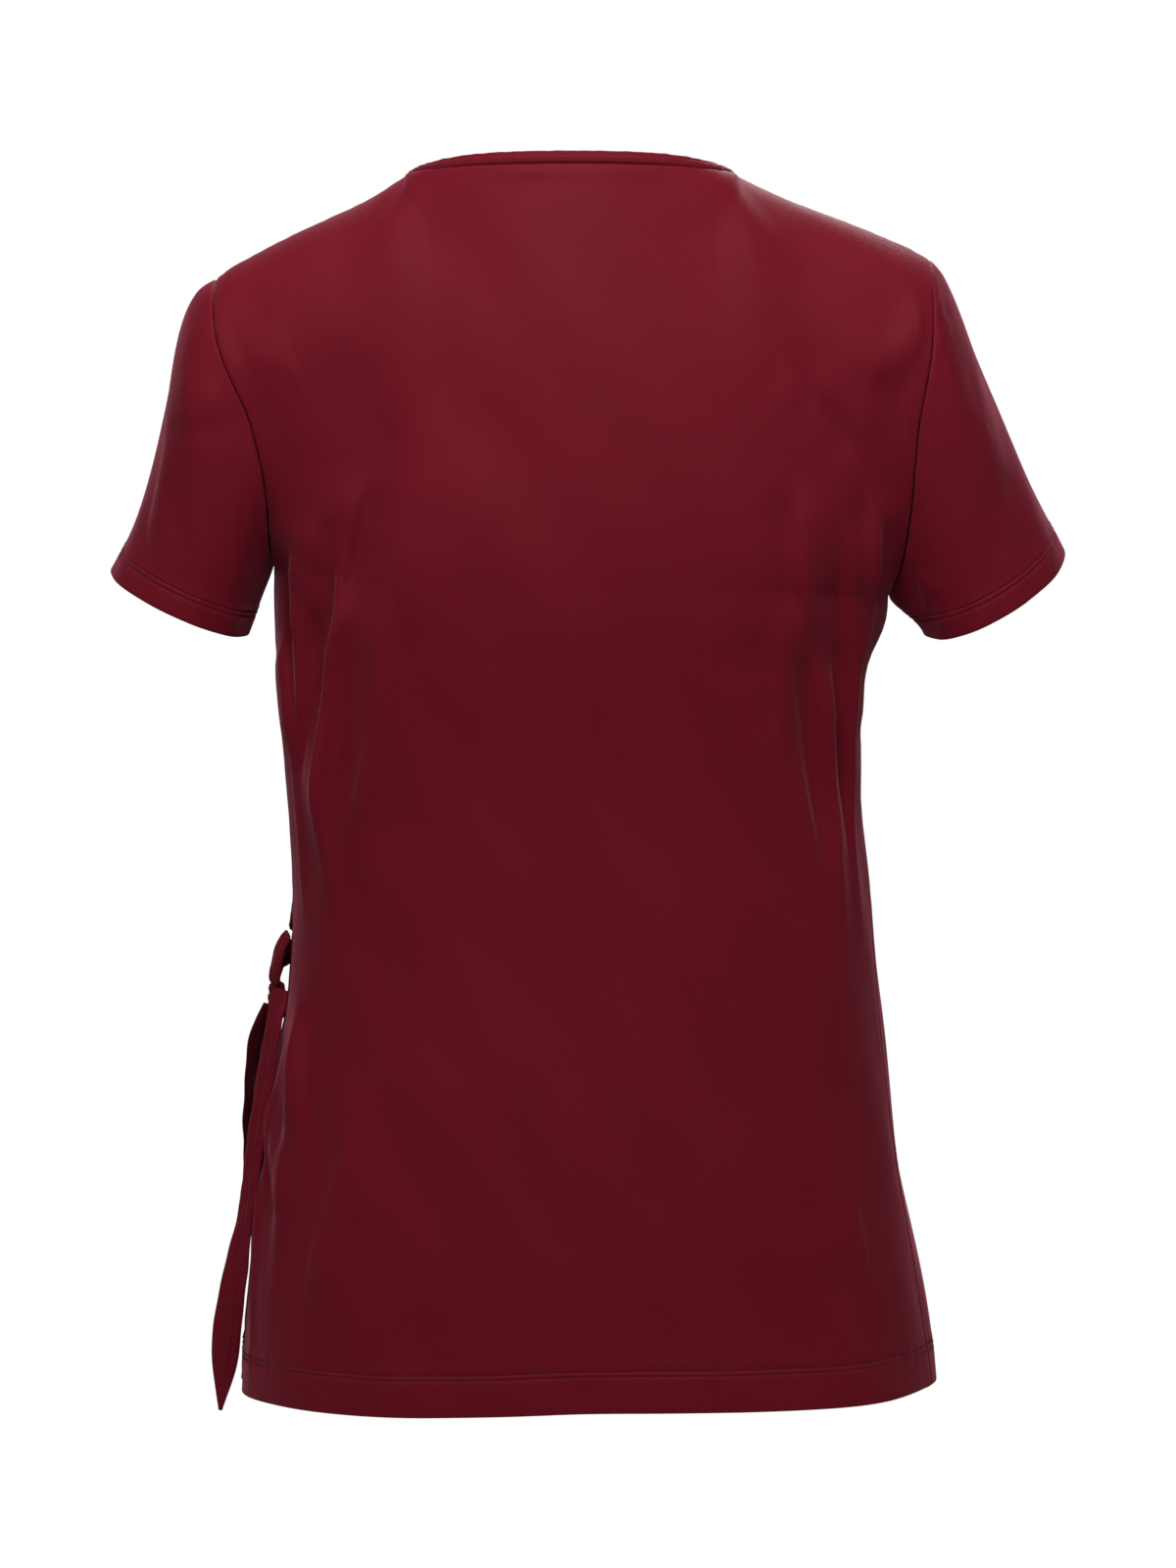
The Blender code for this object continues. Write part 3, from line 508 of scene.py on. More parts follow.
def panel_levels(skirt_rows, yoke_rows):
    """Levels from hem to top: the hem's own rows, even rows to the underarm, and rows that
    crowd at the underarm and the top."""
    hem = hem_depths(HEM_STITCHES, HEM_DEPTH * 1.15) / (ARMHOLE_LEFT["z"][0] - HEM_MID) - 1.0
    yoke = (1.0 - np.cos(np.pi * np.arange(yoke_rows + 1) / yoke_rows)) / 2
    return np.concatenate([hem[:-1], np.linspace(hem[-1], 0.0, skirt_rows + 1)[:-1], yoke])


def sewn_cloth(name, grid, way, uv, finish, hem, seams=()):
    """A cut piece as a mesh.  The grid is its right side.  At row 0 a hem of the given depth
    is turned up on a half circle and follows the grid back inside; at each named edge the
    allowance is turned in; Solidify then gives the jersey its thickness on the wrong side."""
    normal = out_of_cloth(grid, way)
    radius = JERSEY + LAYER_GAP / 2
    down = unit(grid[0] - grid[1])
    turn = np.linspace(0.0, np.pi, 6)[1:-1, None, None]
    centre = grid[0] - normal[0] * radius
    fold = centre + radius * (np.sin(turn) * down + np.cos(turn) * normal[0])
    hem_rows = int(np.sum(run_along(grid, 0).mean(axis=1) < hem))
    turned_up = grid[:hem_rows] - normal[:hem_rows] * 2 * radius
    blocks = [turned_up[::-1], fold[::-1], grid]
    uvs = [uv[:hem_rows][::-1], np.repeat(uv[:1], len(fold), axis=0), uv]
    reach = np.linspace(0.0, ALLOWANCE, ALLOWANCE_ROWS + 1)[1:]
    if "top" in seams:
        blocks.append(grid[-1] - normal[-1] * reach[:, None, None])
        uvs.append(np.repeat(uv[-1:], ALLOWANCE_ROWS, axis=0))
    points, flat = np.concatenate(blocks), np.concatenate(uvs)
    mask = np.ones(points.shape[:2], bool)
    start = hem_rows + len(fold)
    stop = start + len(grid)
    for edge in ("first", "last"):
        if edge not in seams:
            continue
        column, order = (0, -1) if edge == "first" else (-1, 1)
        inside = normal[:, EDGE_COLUMNS if edge == "first" else -1 - EDGE_COLUMNS]
        lines = np.repeat(points[:, column][:, None], ALLOWANCE_ROWS, axis=1)
        lines[start:stop] -= inside[:, None] * reach[::order][None, :, None]
        flat_lines = np.repeat(flat[:, column][:, None], ALLOWANCE_ROWS, axis=1)
        turned = np.zeros(lines.shape[:2], bool)
        turned[start + hem_rows:stop] = True
        pairs = ((points, lines), (flat, flat_lines), (mask, turned))
        points, flat, mask = (np.concatenate(pair[::order], axis=1) for pair in pairs)
    return cloth_object(name, points, flat, mask, way, finish)


def cloth_object(name, points, flat, mask, way, finish):
    """The mesh of a grid: a four-sided face wherever its four corners are shown, with the
    places on the cut cloth as its UV map."""
    rows, columns = mask.shape
    whole = mask[:-1, :-1] & mask[1:, :-1] & mask[1:, 1:] & mask[:-1, 1:]
    number = np.arange(rows * columns).reshape(rows, columns)
    corners = np.stack([number[:-1, :-1], number[1:, :-1], number[1:, 1:], number[:-1, 1:]], axis=-1)[whole]
    if way < 0:
        corners = corners[:, ::-1]
    used, corners = np.unique(corners, return_inverse=True)
    corners = corners.reshape(-1, 4)
    mesh = bpy.data.meshes.new(name)
    mesh.from_pydata(points.reshape(-1, 3)[used].tolist(), [], corners.tolist())
    mesh.shade_smooth()
    layer = mesh.uv_layers.new(name="cloth")
    layer.data.foreach_set("uv", flat.reshape(-1, 2)[used][corners.ravel()].ravel())
    mesh.materials.append(finish)
    piece = bpy.data.objects.new(name, mesh)
    bpy.context.scene.collection.objects.link(piece)
    thick = piece.modifiers.new("jersey", "SOLIDIFY")
    thick.thickness = JERSEY
    thick.offset = -1.0
    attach(piece, "root")
    return piece


def jersey_finish(name, tone, depth=1.0):
    """Fine single jersey: upright wales and a speckle in the bump, a cloudy and a speckled
    change of tone, and the soft red sheen of the brushed surface."""
    finish = bpy.data.materials.new(name)
    shader = shader_of(finish)
    nodes, links = finish.node_tree.nodes, finish.node_tree.links
    shader.inputs["Roughness"].default_value = 0.62
    shader.inputs["Specular IOR Level"].default_value = 0.05
    shader.inputs["Sheen Weight"].default_value = 0.16
    shader.inputs["Sheen Roughness"].default_value = 0.35
    shader.inputs["Sheen Tint"].default_value = (1.0, 0.30, 0.42, 1.0)
    place = nodes.new("ShaderNodeTexCoord")
    cloud = nodes.new("ShaderNodeTexNoise")
    cloud.inputs["Scale"].default_value = 16.0
    cloud.inputs["Detail"].default_value = 3.0
    links.new(place.outputs["Object"], cloud.inputs["Vector"])
    speck = nodes.new("ShaderNodeTexNoise")
    speck.inputs["Scale"].default_value = 900.0
    speck.inputs["Detail"].default_value = 2.0
    links.new(place.outputs["Object"], speck.inputs["Vector"])
    blend = nodes.new("ShaderNodeMix")
    blend.inputs["Factor"].default_value = 0.45
    links.new(cloud.outputs["Fac"], blend.inputs["A"])
    links.new(speck.outputs["Fac"], blend.inputs["B"])
    tones = nodes.new("ShaderNodeValToRGB")
    tones.color_ramp.elements[0].position = 0.30
    tones.color_ramp.elements[0].color = (*(value * 0.93 * depth for value in tone), 1.0)
    tones.color_ramp.elements[1].position = 0.72
    tones.color_ramp.elements[1].color = (*(value * 1.07 * depth for value in tone), 1.0)
    links.new(blend.outputs["Result"], tones.inputs["Fac"])
    links.new(tones.outputs["Color"], shader.inputs["Base Color"])
    wales = nodes.new("ShaderNodeTexWave")
    wales.inputs["Scale"].default_value = WALES_PER_METRE / 20.0 * 2 * np.pi
    wales.inputs["Distortion"].default_value = 0.6
    wales.inputs["Detail"].default_value = 1.0
    links.new(place.outputs["UV"], wales.inputs["Vector"])
    relief = nodes.new("ShaderNodeMix")
    relief.inputs["Factor"].default_value = 0.5
    links.new(wales.outputs["Fac"], relief.inputs["A"])
    links.new(speck.outputs["Fac"], relief.inputs["B"])
    bump = nodes.new("ShaderNodeBump")
    bump.inputs["Strength"].default_value = 0.35
    bump.inputs["Distance"].default_value = 0.00035
    links.new(relief.outputs["Result"], bump.inputs["Height"])
    links.new(bump.outputs["Normal"], shader.inputs["Normal"])
    return finish


WALES_PER_METRE = 900.0
WINE = (0.105, 0.0038, 0.0100)
wine_jersey = jersey_finish("wine_jersey", WINE)

share, level = np.meshgrid(crowded(BACK_COLUMNS), panel_levels(SKIRT_ROWS, YOKE_ROWS))
back_form = panel_point(share, level, 1.0)
along_row = run_along(back_form, 1)
across = along_row - along_row[:, share.shape[1] // 2][:, None]
up = back_form[..., 2]
from_side = np.minimum(along_row, along_row[:, -1:] - along_row)
from_hem = run_along(back_form, 0)
from_top = from_hem[-1] - from_hem
held_edge = smooth(HELD_FROM, HELD_TO, np.minimum(from_side, from_top))
folds = (crease_height(across, up, BACK_CREASES, BACK_CREASES_RIGHT) + slack(across, up)) * held_edge
back_form = back_form + fold_way(back_form) * folds[..., None]
relief = (gathers(up, from_side) + gathers(across, from_top) + seam_roll(from_side) + seam_roll(from_top)
          + hem_relief(from_hem, HEM_DEPTH, HEM_STITCHES) + hem_gathers(across, from_hem, HEM_STITCHES)
          + NECK_BULGE * np.exp(-((from_top - NECK_BULGE_PLACE) / NECK_BULGE_REACH) ** 2)
          * (1.0 - smooth(*NECK_BULGE_FADE, np.abs(across))))
back_form = back_form + out_of_cloth(back_form, 1.0) * relief[..., None]
back = sewn_cloth("back_panel", back_form, 1.0, np.stack([across, up], axis=-1), wine_jersey,
                  hem=HEM_DEPTH, seams=("top", "first", "last"))
hem_forms = [(back_form, 1.0)]
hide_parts("back")

# ---- fronts -----------------------------------------------------------------
# Two fronts of the same jersey that cross over the chest.  The over front runs from the
# wearer's right to the left side, where it is tied; the under front lies inside it and
# runs the other way.  Creases fan out from the tie.
WRAP_STEP = 0.0032       # how far the over front lies outside the under front
TIE_HEIGHT = -0.4150
TIE_SHARE = 0.90         # where the over front's free edge lies below the tie
V_BOW = 0.10             # how far the wrap edge bows away from a straight line
FRONT_COLUMNS = 190
UNDERARM_MID = (ARMHOLE_LEFT["z"][0] + ARMHOLE_RIGHT["z"][0]) / 2
FRONT_CREASES = {
    "across_start": (.180, .185, .185, .180, .172, -.150, -.165, .150, -.150, -.110, .060, -.060),
    "up_start":     (-.405, -.415, -.425, -.435, -.395, -.240,
                     -.300, -.210, -.190, -.520, -.540, -.560),
    "across_mid":   (.090, .100, .110, .130, .120, -.130, -.150, .120, -.110, -.120, .055, -.066),
    "up_mid":       (-.385, -.418, -.448, -.480, -.345, -.290,
                     -.350, -.250, -.220, -.570, -.590, -.600),
    "across_end":   (-.020, .000, .030, .085, .070, -.120, -.090, .080, -.070, -.128, .050, -.070),
    "up_end":       (-.345, -.405, -.462, -.525, -.300, -.350,
                     -.390, -.290, -.250, -.620, -.635, -.640),
    "half_width":   (.010, .008, .008, .009, .009, .009, .010, .009, .009, .010, .010, .010),
    "height":       (.0024, .0020, .0018, .0018, .0018, .0016,
                     .0016, .0014, .0014, .0014, .0010, .0010),
}


def wrap_share(level):
    """Share at which a wrapped edge lies at each level: a slightly bowed slant from the
    neck side point down to the tie, and straight down below it."""
    height = np.where(level > 0, UNDERARM_MID * (1.0 - level),
                      UNDERARM_MID + (UNDERARM_MID - HEM_MID) * level)
    part = np.clip((height - TIE_HEIGHT) / (0.0 - TIE_HEIGHT), 0.0, 1.0)
    return TIE_SHARE - (TIE_SHARE + NECK_SHARE) * (part + V_BOW * np.sin(np.pi * part))


def over_offset(share):
    """The over front lies on the seams at its own side and outside the other front."""
    return WRAP_STEP * smooth(-0.7, 0.5, share)


front_level = panel_levels(SKIRT_ROWS, YOKE_ROWS)
for name, over in (("front_over", True), ("front_under", False)):
    step, level = np.meshgrid((crowded(FRONT_COLUMNS) + 1) / 2, front_level)
    share = -1.0 + (wrap_share(level) + 1.0) * step
    side = 1.0 if over else -1.0
    inset = 0.0 if over else WRAP_STEP
    front_form = panel_point(share * side, level, -1.0, over_offset(share * side) - inset)
    along_row = run_along(front_form, 1)
    centre_front = np.array([np.interp(0.0, line, run) for line, run in zip(share, along_row)])
    across = (along_row - centre_front[:, None]) * side
    up = front_form[..., 2]
    from_side, from_wrap = along_row, along_row[:, -1:] - along_row
    from_hem = run_along(front_form, 0)
    from_top = from_hem[-1] - from_hem
    edge = np.minimum(from_side, from_top)
    bound = smooth(TIE_HEIGHT - 0.02, TIE_HEIGHT + 0.01, up)
    folds = crease_height(across, up, FRONT_CREASES) + slack(across * side, up)
    folds = folds * smooth(HELD_FROM, HELD_TO, edge)
    front_form = front_form + fold_way(front_form) * folds[..., None]
    relief = (gathers(up, from_side) + gathers(up, from_wrap)
              + seam_roll(edge) + seam_roll(from_wrap) * bound
              + hem_relief(from_hem, HEM_DEPTH, HEM_STITCHES)
              + hem_gathers(across, from_hem, HEM_STITCHES))
    way = -side
    front_form = front_form + out_of_cloth(front_form, way) * relief[..., None]
    front = sewn_cloth(name + "_panel", front_form, way, np.stack([across, up], axis=-1), wine_jersey,
                       hem=HEM_DEPTH, seams=("top", "first"))
    hem_forms.append((front_form, way))
    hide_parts(name)

# ---- sleeves ----------------------------------------------------------------
# Short set-in sleeves, each cut in one piece with a rounded head, closed by a seam under
# the arm and hemmed with two needles.  They flare a little and stay round and open.
CUFF_DEPTH = 0.0510      # half the cuff's depth from front to back
SLEEVE_GAP = 0.0003      # between a sleeve's head and the edge that it is sewn to
SLEEVE_SLIT = 0.0004     # between the two edges under the arm, as a share of half a turn
SLEEVE_LEAN = 0.36       # how far the tube leans outwards under the arm
SLEEVE_HEM = 0.0152      # depth of the turned-up hem and its two stitch rows
SLEEVE_STITCHES = (0.0107, 0.0135)
SLEEVE_ROWS = 64
SLEEVE_STEPS = 240
SLEEVE_COLUMNS = 168
SLEEVE_SOFT = 0.30       # sleeves crease less than the body
SLEEVE_ROUND = 0.067     # mean radius, to measure across the cloth
CUFFS = {
    "side":    ("left", "right"),
    "outer_x": (0.2508, 0.2688),
    "outer_z": (-0.2145, -0.2045),
    "inner_x": (0.1760, 0.1920),
    "inner_z": (-0.2490, -0.2475),
    "dip":     (0.0060, 0.0130),
    "cap":     (0.0900, 0.0300),
    "flare":   (0.48, 0.46),
}
# across is from the top of the sleeve round towards the back, up is minus the way down
SLEEVE_CREASES = {
    "left": {
        "across_start": (.0363, .0500, .0790, .0538, .0766, .0960, -.0400, -.0800, -.0900),
        "up_start":     (-.0746, -.0340, -.0476, -.0709, -.0529, -.0494, -.0700, -.0300, -.0800),
        "across_mid":   (.0800, .0720, .0977, .0439, .0649, .1117, -.0700, -.1000, -.0800),
        "up_mid":       (-.0330, -.0190, -.0195, -.1088, -.0924, -.0309, -.0420, -.0340, -.1000),
        "across_end":   (.1000, .0900, .1117, .0591, .0749, .1270, -.0950, -.1200, -.0600),
        "up_end":       (-.0020, -.0020, -.0010, -.1257, -.1088, -.0130, -.0060, -.0160, -.1200),
        "half_width":   (.0080, .0070, .0090, .0060, .0090, .0020, .0090, .0080, .0080),
        "height":       (.0022, -.0014, -.0022, .0020, -.0016, -.0007, .0020, .0014, .0014),
    },
    "right": {
        "across_start": (.0445, .0573, .0731, .0509, .0661, .0655,
                         .0760, .0942, .1106, .1560, -.0450, -.0800),
        "up_start":     (-.0005, -.0005, -.0005, -.0005, -.0005, -.0364, -.0690, -.0904, -.0177, -.0107,
                         -.0500, -.0200),
        "across_mid":   (.0386, .0480, .0614, .0433, .0556, .0527,
                         .0591, .0790, .1041, .1650, -.0700, -.1000),
        "up_mid":       (-.0029, -.0067, -.0108, -.0049, -.0081, -.0649, -.0929, -.1129, -.0415, -.0168,
                         -.0500, -.0350),
        "across_end":   (.0240, .0300, .0410, .0187, .0260, .0521,
                         .0310, .0573, .1059, .1726, -.0900, -.1100),
        "up_end":       (-.0102, -.0170, -.0250, -.0179, -.0250, -.0821, -.1219, -.1386, -.0588, -.0287,
                         -.0300, -.0500),
        "half_width":   (.0022, .0032, .0036, .0022, .0030, .0090,
                         .0080, .0070, .0140, .0080, .0090, .0080),
        "height":       (-.0009, -.0014, -.0012, .0008, .0010, .0016,
                         -.0016, .0012, .0010, -.0030, .0018, .0014),
    },
}


def sleeve_surface(sign, cuff, angle, part):
    """A sleeve: from each point of the armhole seam to the same point of the tilted oval
    cuff on a cubic, whose end slopes let the head stand out and the tube fall and flare."""
    level = (1.0 + np.cos(angle)) / 2
    behind = panel_point(sign, level, 1.0)
    before = panel_point(sign, level, -1.0)
    half = np.where(np.sin(angle) > 1e-9, 1.0, np.where(np.sin(angle) < -1e-9, 0.0, 0.5))[:, None]
    start = before + (behind - before) * half
    outer = np.array([sign * cuff["outer_x"], 0.0, cuff["outer_z"]])
    inner = np.array([sign * cuff["inner_x"], 0.0, cuff["inner_z"]])
    back_edge = np.array([0.0, CUFF_DEPTH, -cuff["dip"]])
    middle = (outer + inner) / 2
    end = middle + np.outer(np.cos(angle), (outer - inner) / 2) + np.outer(np.sin(angle), back_edge)
    crown = ((1.0 + np.cos(angle)) / 2)[:, None] ** 1.5
    under = ((1.0 - np.cos(angle)) / 2)[:, None] ** 1.5
    flank = 1.0 - crown - under
    length = np.linalg.norm(end - start, axis=1)[:, None]
    tilt = SLEEVE_LEAN + (cuff["flare"] - SLEEVE_LEAN) * crown
    fall = tilt * np.array([sign, 0.0, 0.0]) - np.sqrt(1.0 - tilt**2) * np.array([0.0, 0.0, 1.0])
    over_arm = np.array([sign * 1.0, 0.0, -0.45]) * cuff["cap"]
    sideways = np.array([sign * 0.70, 0.0, -0.65]) + np.outer(np.sin(angle), [0.0, 0.30, 0.0])
    leave = over_arm * crown + sideways * 0.8 * length * flank + fall * length * under
    arrive = fall * length * (1.05 + 0.35 * crown)
    round_seam = unit(np.gradient(start, axis=0))
    clear = unit(np.array([sign, 0.0, 0.0]) - round_seam * sign * round_seam[:, :1])
    start = start + clear * SLEEVE_GAP
    return cubic(part[:, None, None], start, leave, end, arrive)


sleeve_hems = {}
for name in CUFFS["side"]:
    sign = 1.0 if name == "left" else -1.0
    cuff = {key: CUFFS[key][CUFFS["side"].index(name)] for key in CUFFS}
    angle = np.pi * (1.0 + (crowded(SLEEVE_COLUMNS) + 1.0) * (1.0 - SLEEVE_SLIT) + SLEEVE_SLIT)
    whole_sleeve = sleeve_surface(sign, cuff, angle, np.linspace(0.0, 1.0, SLEEVE_STEPS + 1))[::-1]
    length = run_along(whole_sleeve, 0)[-1] * 0.99999
    hem = hem_depths(SLEEVE_STITCHES, SLEEVE_HEM * 1.1)
    rest = 1.0 - (1.0 - np.arange(1, SLEEVE_ROWS + 1) / SLEEVE_ROWS) ** 1.3
    depths = [depth + 0 * length for depth in hem] + [hem[-1] + (length - hem[-1]) * part for part in rest]
    sleeve_form = np.stack([line_at(whole_sleeve, 1.0, depth)[0] for depth in depths])
    from_cuff = run_along(sleeve_form, 0)
    from_seam = from_cuff[-1] - from_cuff
    along_row = run_along(sleeve_form, 1)
    from_under = np.minimum(along_row, along_row[:, -1:] - along_row)
    across = np.broadcast_to((angle - 2 * np.pi) * SLEEVE_ROUND, from_seam.shape)
    edge = np.minimum(from_seam, from_under)
    creases = SLEEVE_SOFT * crease_height(across, -from_seam, SLEEVE_CREASES[name])
    relief = (creases * smooth(0.0, 0.003, edge)
              + slack(across, from_seam) * smooth(HELD_FROM, HELD_TO, edge)
              + gathers(across, from_seam) + seam_roll(from_seam) + seam_roll(from_under)
              + hem_relief(from_cuff, SLEEVE_HEM, SLEEVE_STITCHES)
              + hem_gathers(across, from_cuff, SLEEVE_STITCHES))
    way = -sign
    sleeve_form = sleeve_form + out_of_cloth(sleeve_form, way) * relief[..., None]
    sleeve_hems[name] = (sleeve_form, way)
    sleeve = sewn_cloth(f"sleeve_{name}_cloth", sleeve_form, way, np.stack([across, -from_seam], axis=-1),
                        wine_jersey, hem=SLEEVE_HEM, seams=("top", "first", "last"))
    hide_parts(f"sleeve_{name}")

# ---- neck binding -----------------------------------------------------------
# One long strip of the jersey, folded double, that runs up the over front's edge, round
# the back of the neck and down the under front's edge.  It is sewn on with its fold
# towards the neck and stitched down with two needles.
BINDING_WIDTH = 0.0070
BINDING_GAP = 0.0008     # between the binding and the edge that it is sewn to
BINDING_PROUD = 0.0003
BINDING_CROWN = 0.0005
BINDING_STITCHES = (0.0019, 0.0046)
BINDING_STEP = 0.0022
BINDING_ROWS = 18
BINDING_TUCK = 0.0040    # how far its seam edge runs on behind the panels, how deep, and
TUCK_DEPTH = 0.0028      # between which distances from the seam it bends down
TUCK_BEND = (-0.0006, 0.0016)
BINDING_FOLD = 0.0090    # width of the strip's half that is folded inside
BINDING_GATHER = 1.2     # height of its small gathers beside the panels'
NECK_TURN = 0.014        # reach of the even turn round each neck side point
TURN_SOFTENING = 160
TIE_LEVEL = -(UNDERARM_MID - TIE_HEIGHT) / (UNDERARM_MID - HEM_MID)
BODY_MIDDLE = np.array([0.0, 0.0, -0.25])


def edge_with_normal(share, level, facing, offset):
    """Points of a panel's edge and the direction out of the cloth there, from two short
    steps over the panel: one beside the edge and one below."""
    here = panel_point(share, level, facing, offset)
    step = 0.002
    beside = panel_point(share + step * np.sign(-share + 1e-6), level, facing, offset)
    below = panel_point(share, level - step, facing, offset)
    normal = unit(np.cross(beside - here, below - here))
    return here, normal * np.sign(np.sum(normal * (here - BODY_MIDDLE), axis=-1, keepdims=True))


def evenly(path, step, *others):
    """A path, and values along it, read again at even steps of its length."""
    run = np.concatenate([[0.0], np.cumsum(np.linalg.norm(np.diff(path, axis=0), axis=1))])
    places = np.linspace(0.0, run[-1], int(round(run[-1] / step)) + 1)
    return [np.stack([np.interp(places, run, values[:, k]) for k in range(3)], axis=1)
            for values in (path, *others)]


def softened(vectors, passes):
    """Each vector drawn towards its neighbours' mean, many times over."""
    for _ in range(passes):
        middle = (vectors[:-2] + 2 * vectors[1:-1] + vectors[2:]) / 4
        vectors = np.concatenate([vectors[:1], middle, vectors[-1:]])
    return vectors


rise = front_level[front_level > TIE_LEVEL]
rise = np.concatenate([[TIE_LEVEL], rise[:-1]])
wrap = wrap_share(rise)
neck = np.linspace(-NECK_SHARE, NECK_SHARE, 121)
over_edge = edge_with_normal(wrap, rise, -1.0, over_offset(wrap))
back_edge = edge_with_normal(neck, np.ones_like(neck), 1.0, 0.0)
under_edge = edge_with_normal(-wrap[::-1], rise[::-1], -1.0, over_offset(-wrap[::-1]) - WRAP_STEP)
seam, normal = evenly(np.concatenate([over_edge[0], back_edge[0], under_edge[0]]), BINDING_STEP,
                      np.concatenate([over_edge[1], back_edge[1], under_edge[1]]))
inward = unit(np.cross(np.gradient(seam, axis=0), normal))
to_side = np.hypot(np.abs(seam[:, 0]) - NECK_HALF, seam[:, 1])[:, None]
flat_way = np.sign(-seam[:, :1]) * np.array([1.0, 0.0, 0.0]) + np.array([0.0, 0.0, 0.2])
inward = unit(softened(inward + (flat_way - inward) * np.exp(-(to_side / NECK_TURN) ** 2), TURN_SOFTENING))
normal = unit(softened(normal, TURN_SOFTENING))
run = np.arange(len(seam)) * BINDING_STEP
reach = np.linspace(BINDING_WIDTH, -BINDING_TUCK, BINDING_ROWS + 1)[:, None]
crown = np.clip((reach - BINDING_GAP) / (BINDING_WIDTH - BINDING_GAP), 0.0, 1.0)
lift = BINDING_PROUD + BINDING_CROWN * np.sin(np.pi * crown) ** 0.7
for row in BINDING_STITCHES:
    lift = lift - STITCH_SINK * np.exp(-((reach - row) / STITCH_DENT) ** 2)
lift = lift + BINDING_GATHER * pucker(run) - TUCK_DEPTH * (1.0 - smooth(*TUCK_BEND, reach))
binding_form = seam + inward * reach[..., None] + normal * lift[..., None]
binding = sewn_cloth("neck_binding_strip", binding_form, -1.0,
                     np.stack(np.broadcast_arrays(reach, run), axis=-1), wine_jersey,
                     hem=BINDING_FOLD)
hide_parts("neck_binding")

# ---- ties -------------------------------------------------------------------
# Two flat ties of doubled jersey, turned right side out and pressed, that hold the wrap
# shut at the wearer's left side.  Past the knot they hang free, with pointed ends.
TIE_HALF = 0.00105       # half the thickness of a tie
TIE_STEPS = {"tie_loop": 44, "tie_strap": 24, "tie_tail_near": 110, "tie_tail_far": 96}
TIE_AROUND = 64
TIE_TONE = 0.92          # a tie's tone beside the panels'
TIES_IN_PAINTED_SHADE = ("tie_strap", "tie_tail_far")     # these get painted shade: a far darker copy of the jersey, for the strap and far tail that hang in shadow
# painted shade: a near-black wine tone that stands in for the shadow over the strap and far tail
TIE_PAINTED_SHADE_TONE = (0.040, 0.0020, 0.0046)
TIE_CURL = 0.0012        # how much a tie's edges curl back beyond its cup
TIE_THIN_FROM = 0.004    # a tie gets thinner where its half width is below this
TIE_CURL_FROM = 0.006    # and curls back less where it is below this
TIE_RIPPLE = (0.00030, 0.00022)     # heights of the two waves along a tie
# creases pressed down each tie: place beside the crease column, depth, and reach
TIE_GROOVES = {
    "place": (-0.42, 0.05, 0.50),
    "depth": (0.00100, 0.00110, 0.00080),
    "reach": (0.0008, 0.0009, 0.0008),
}
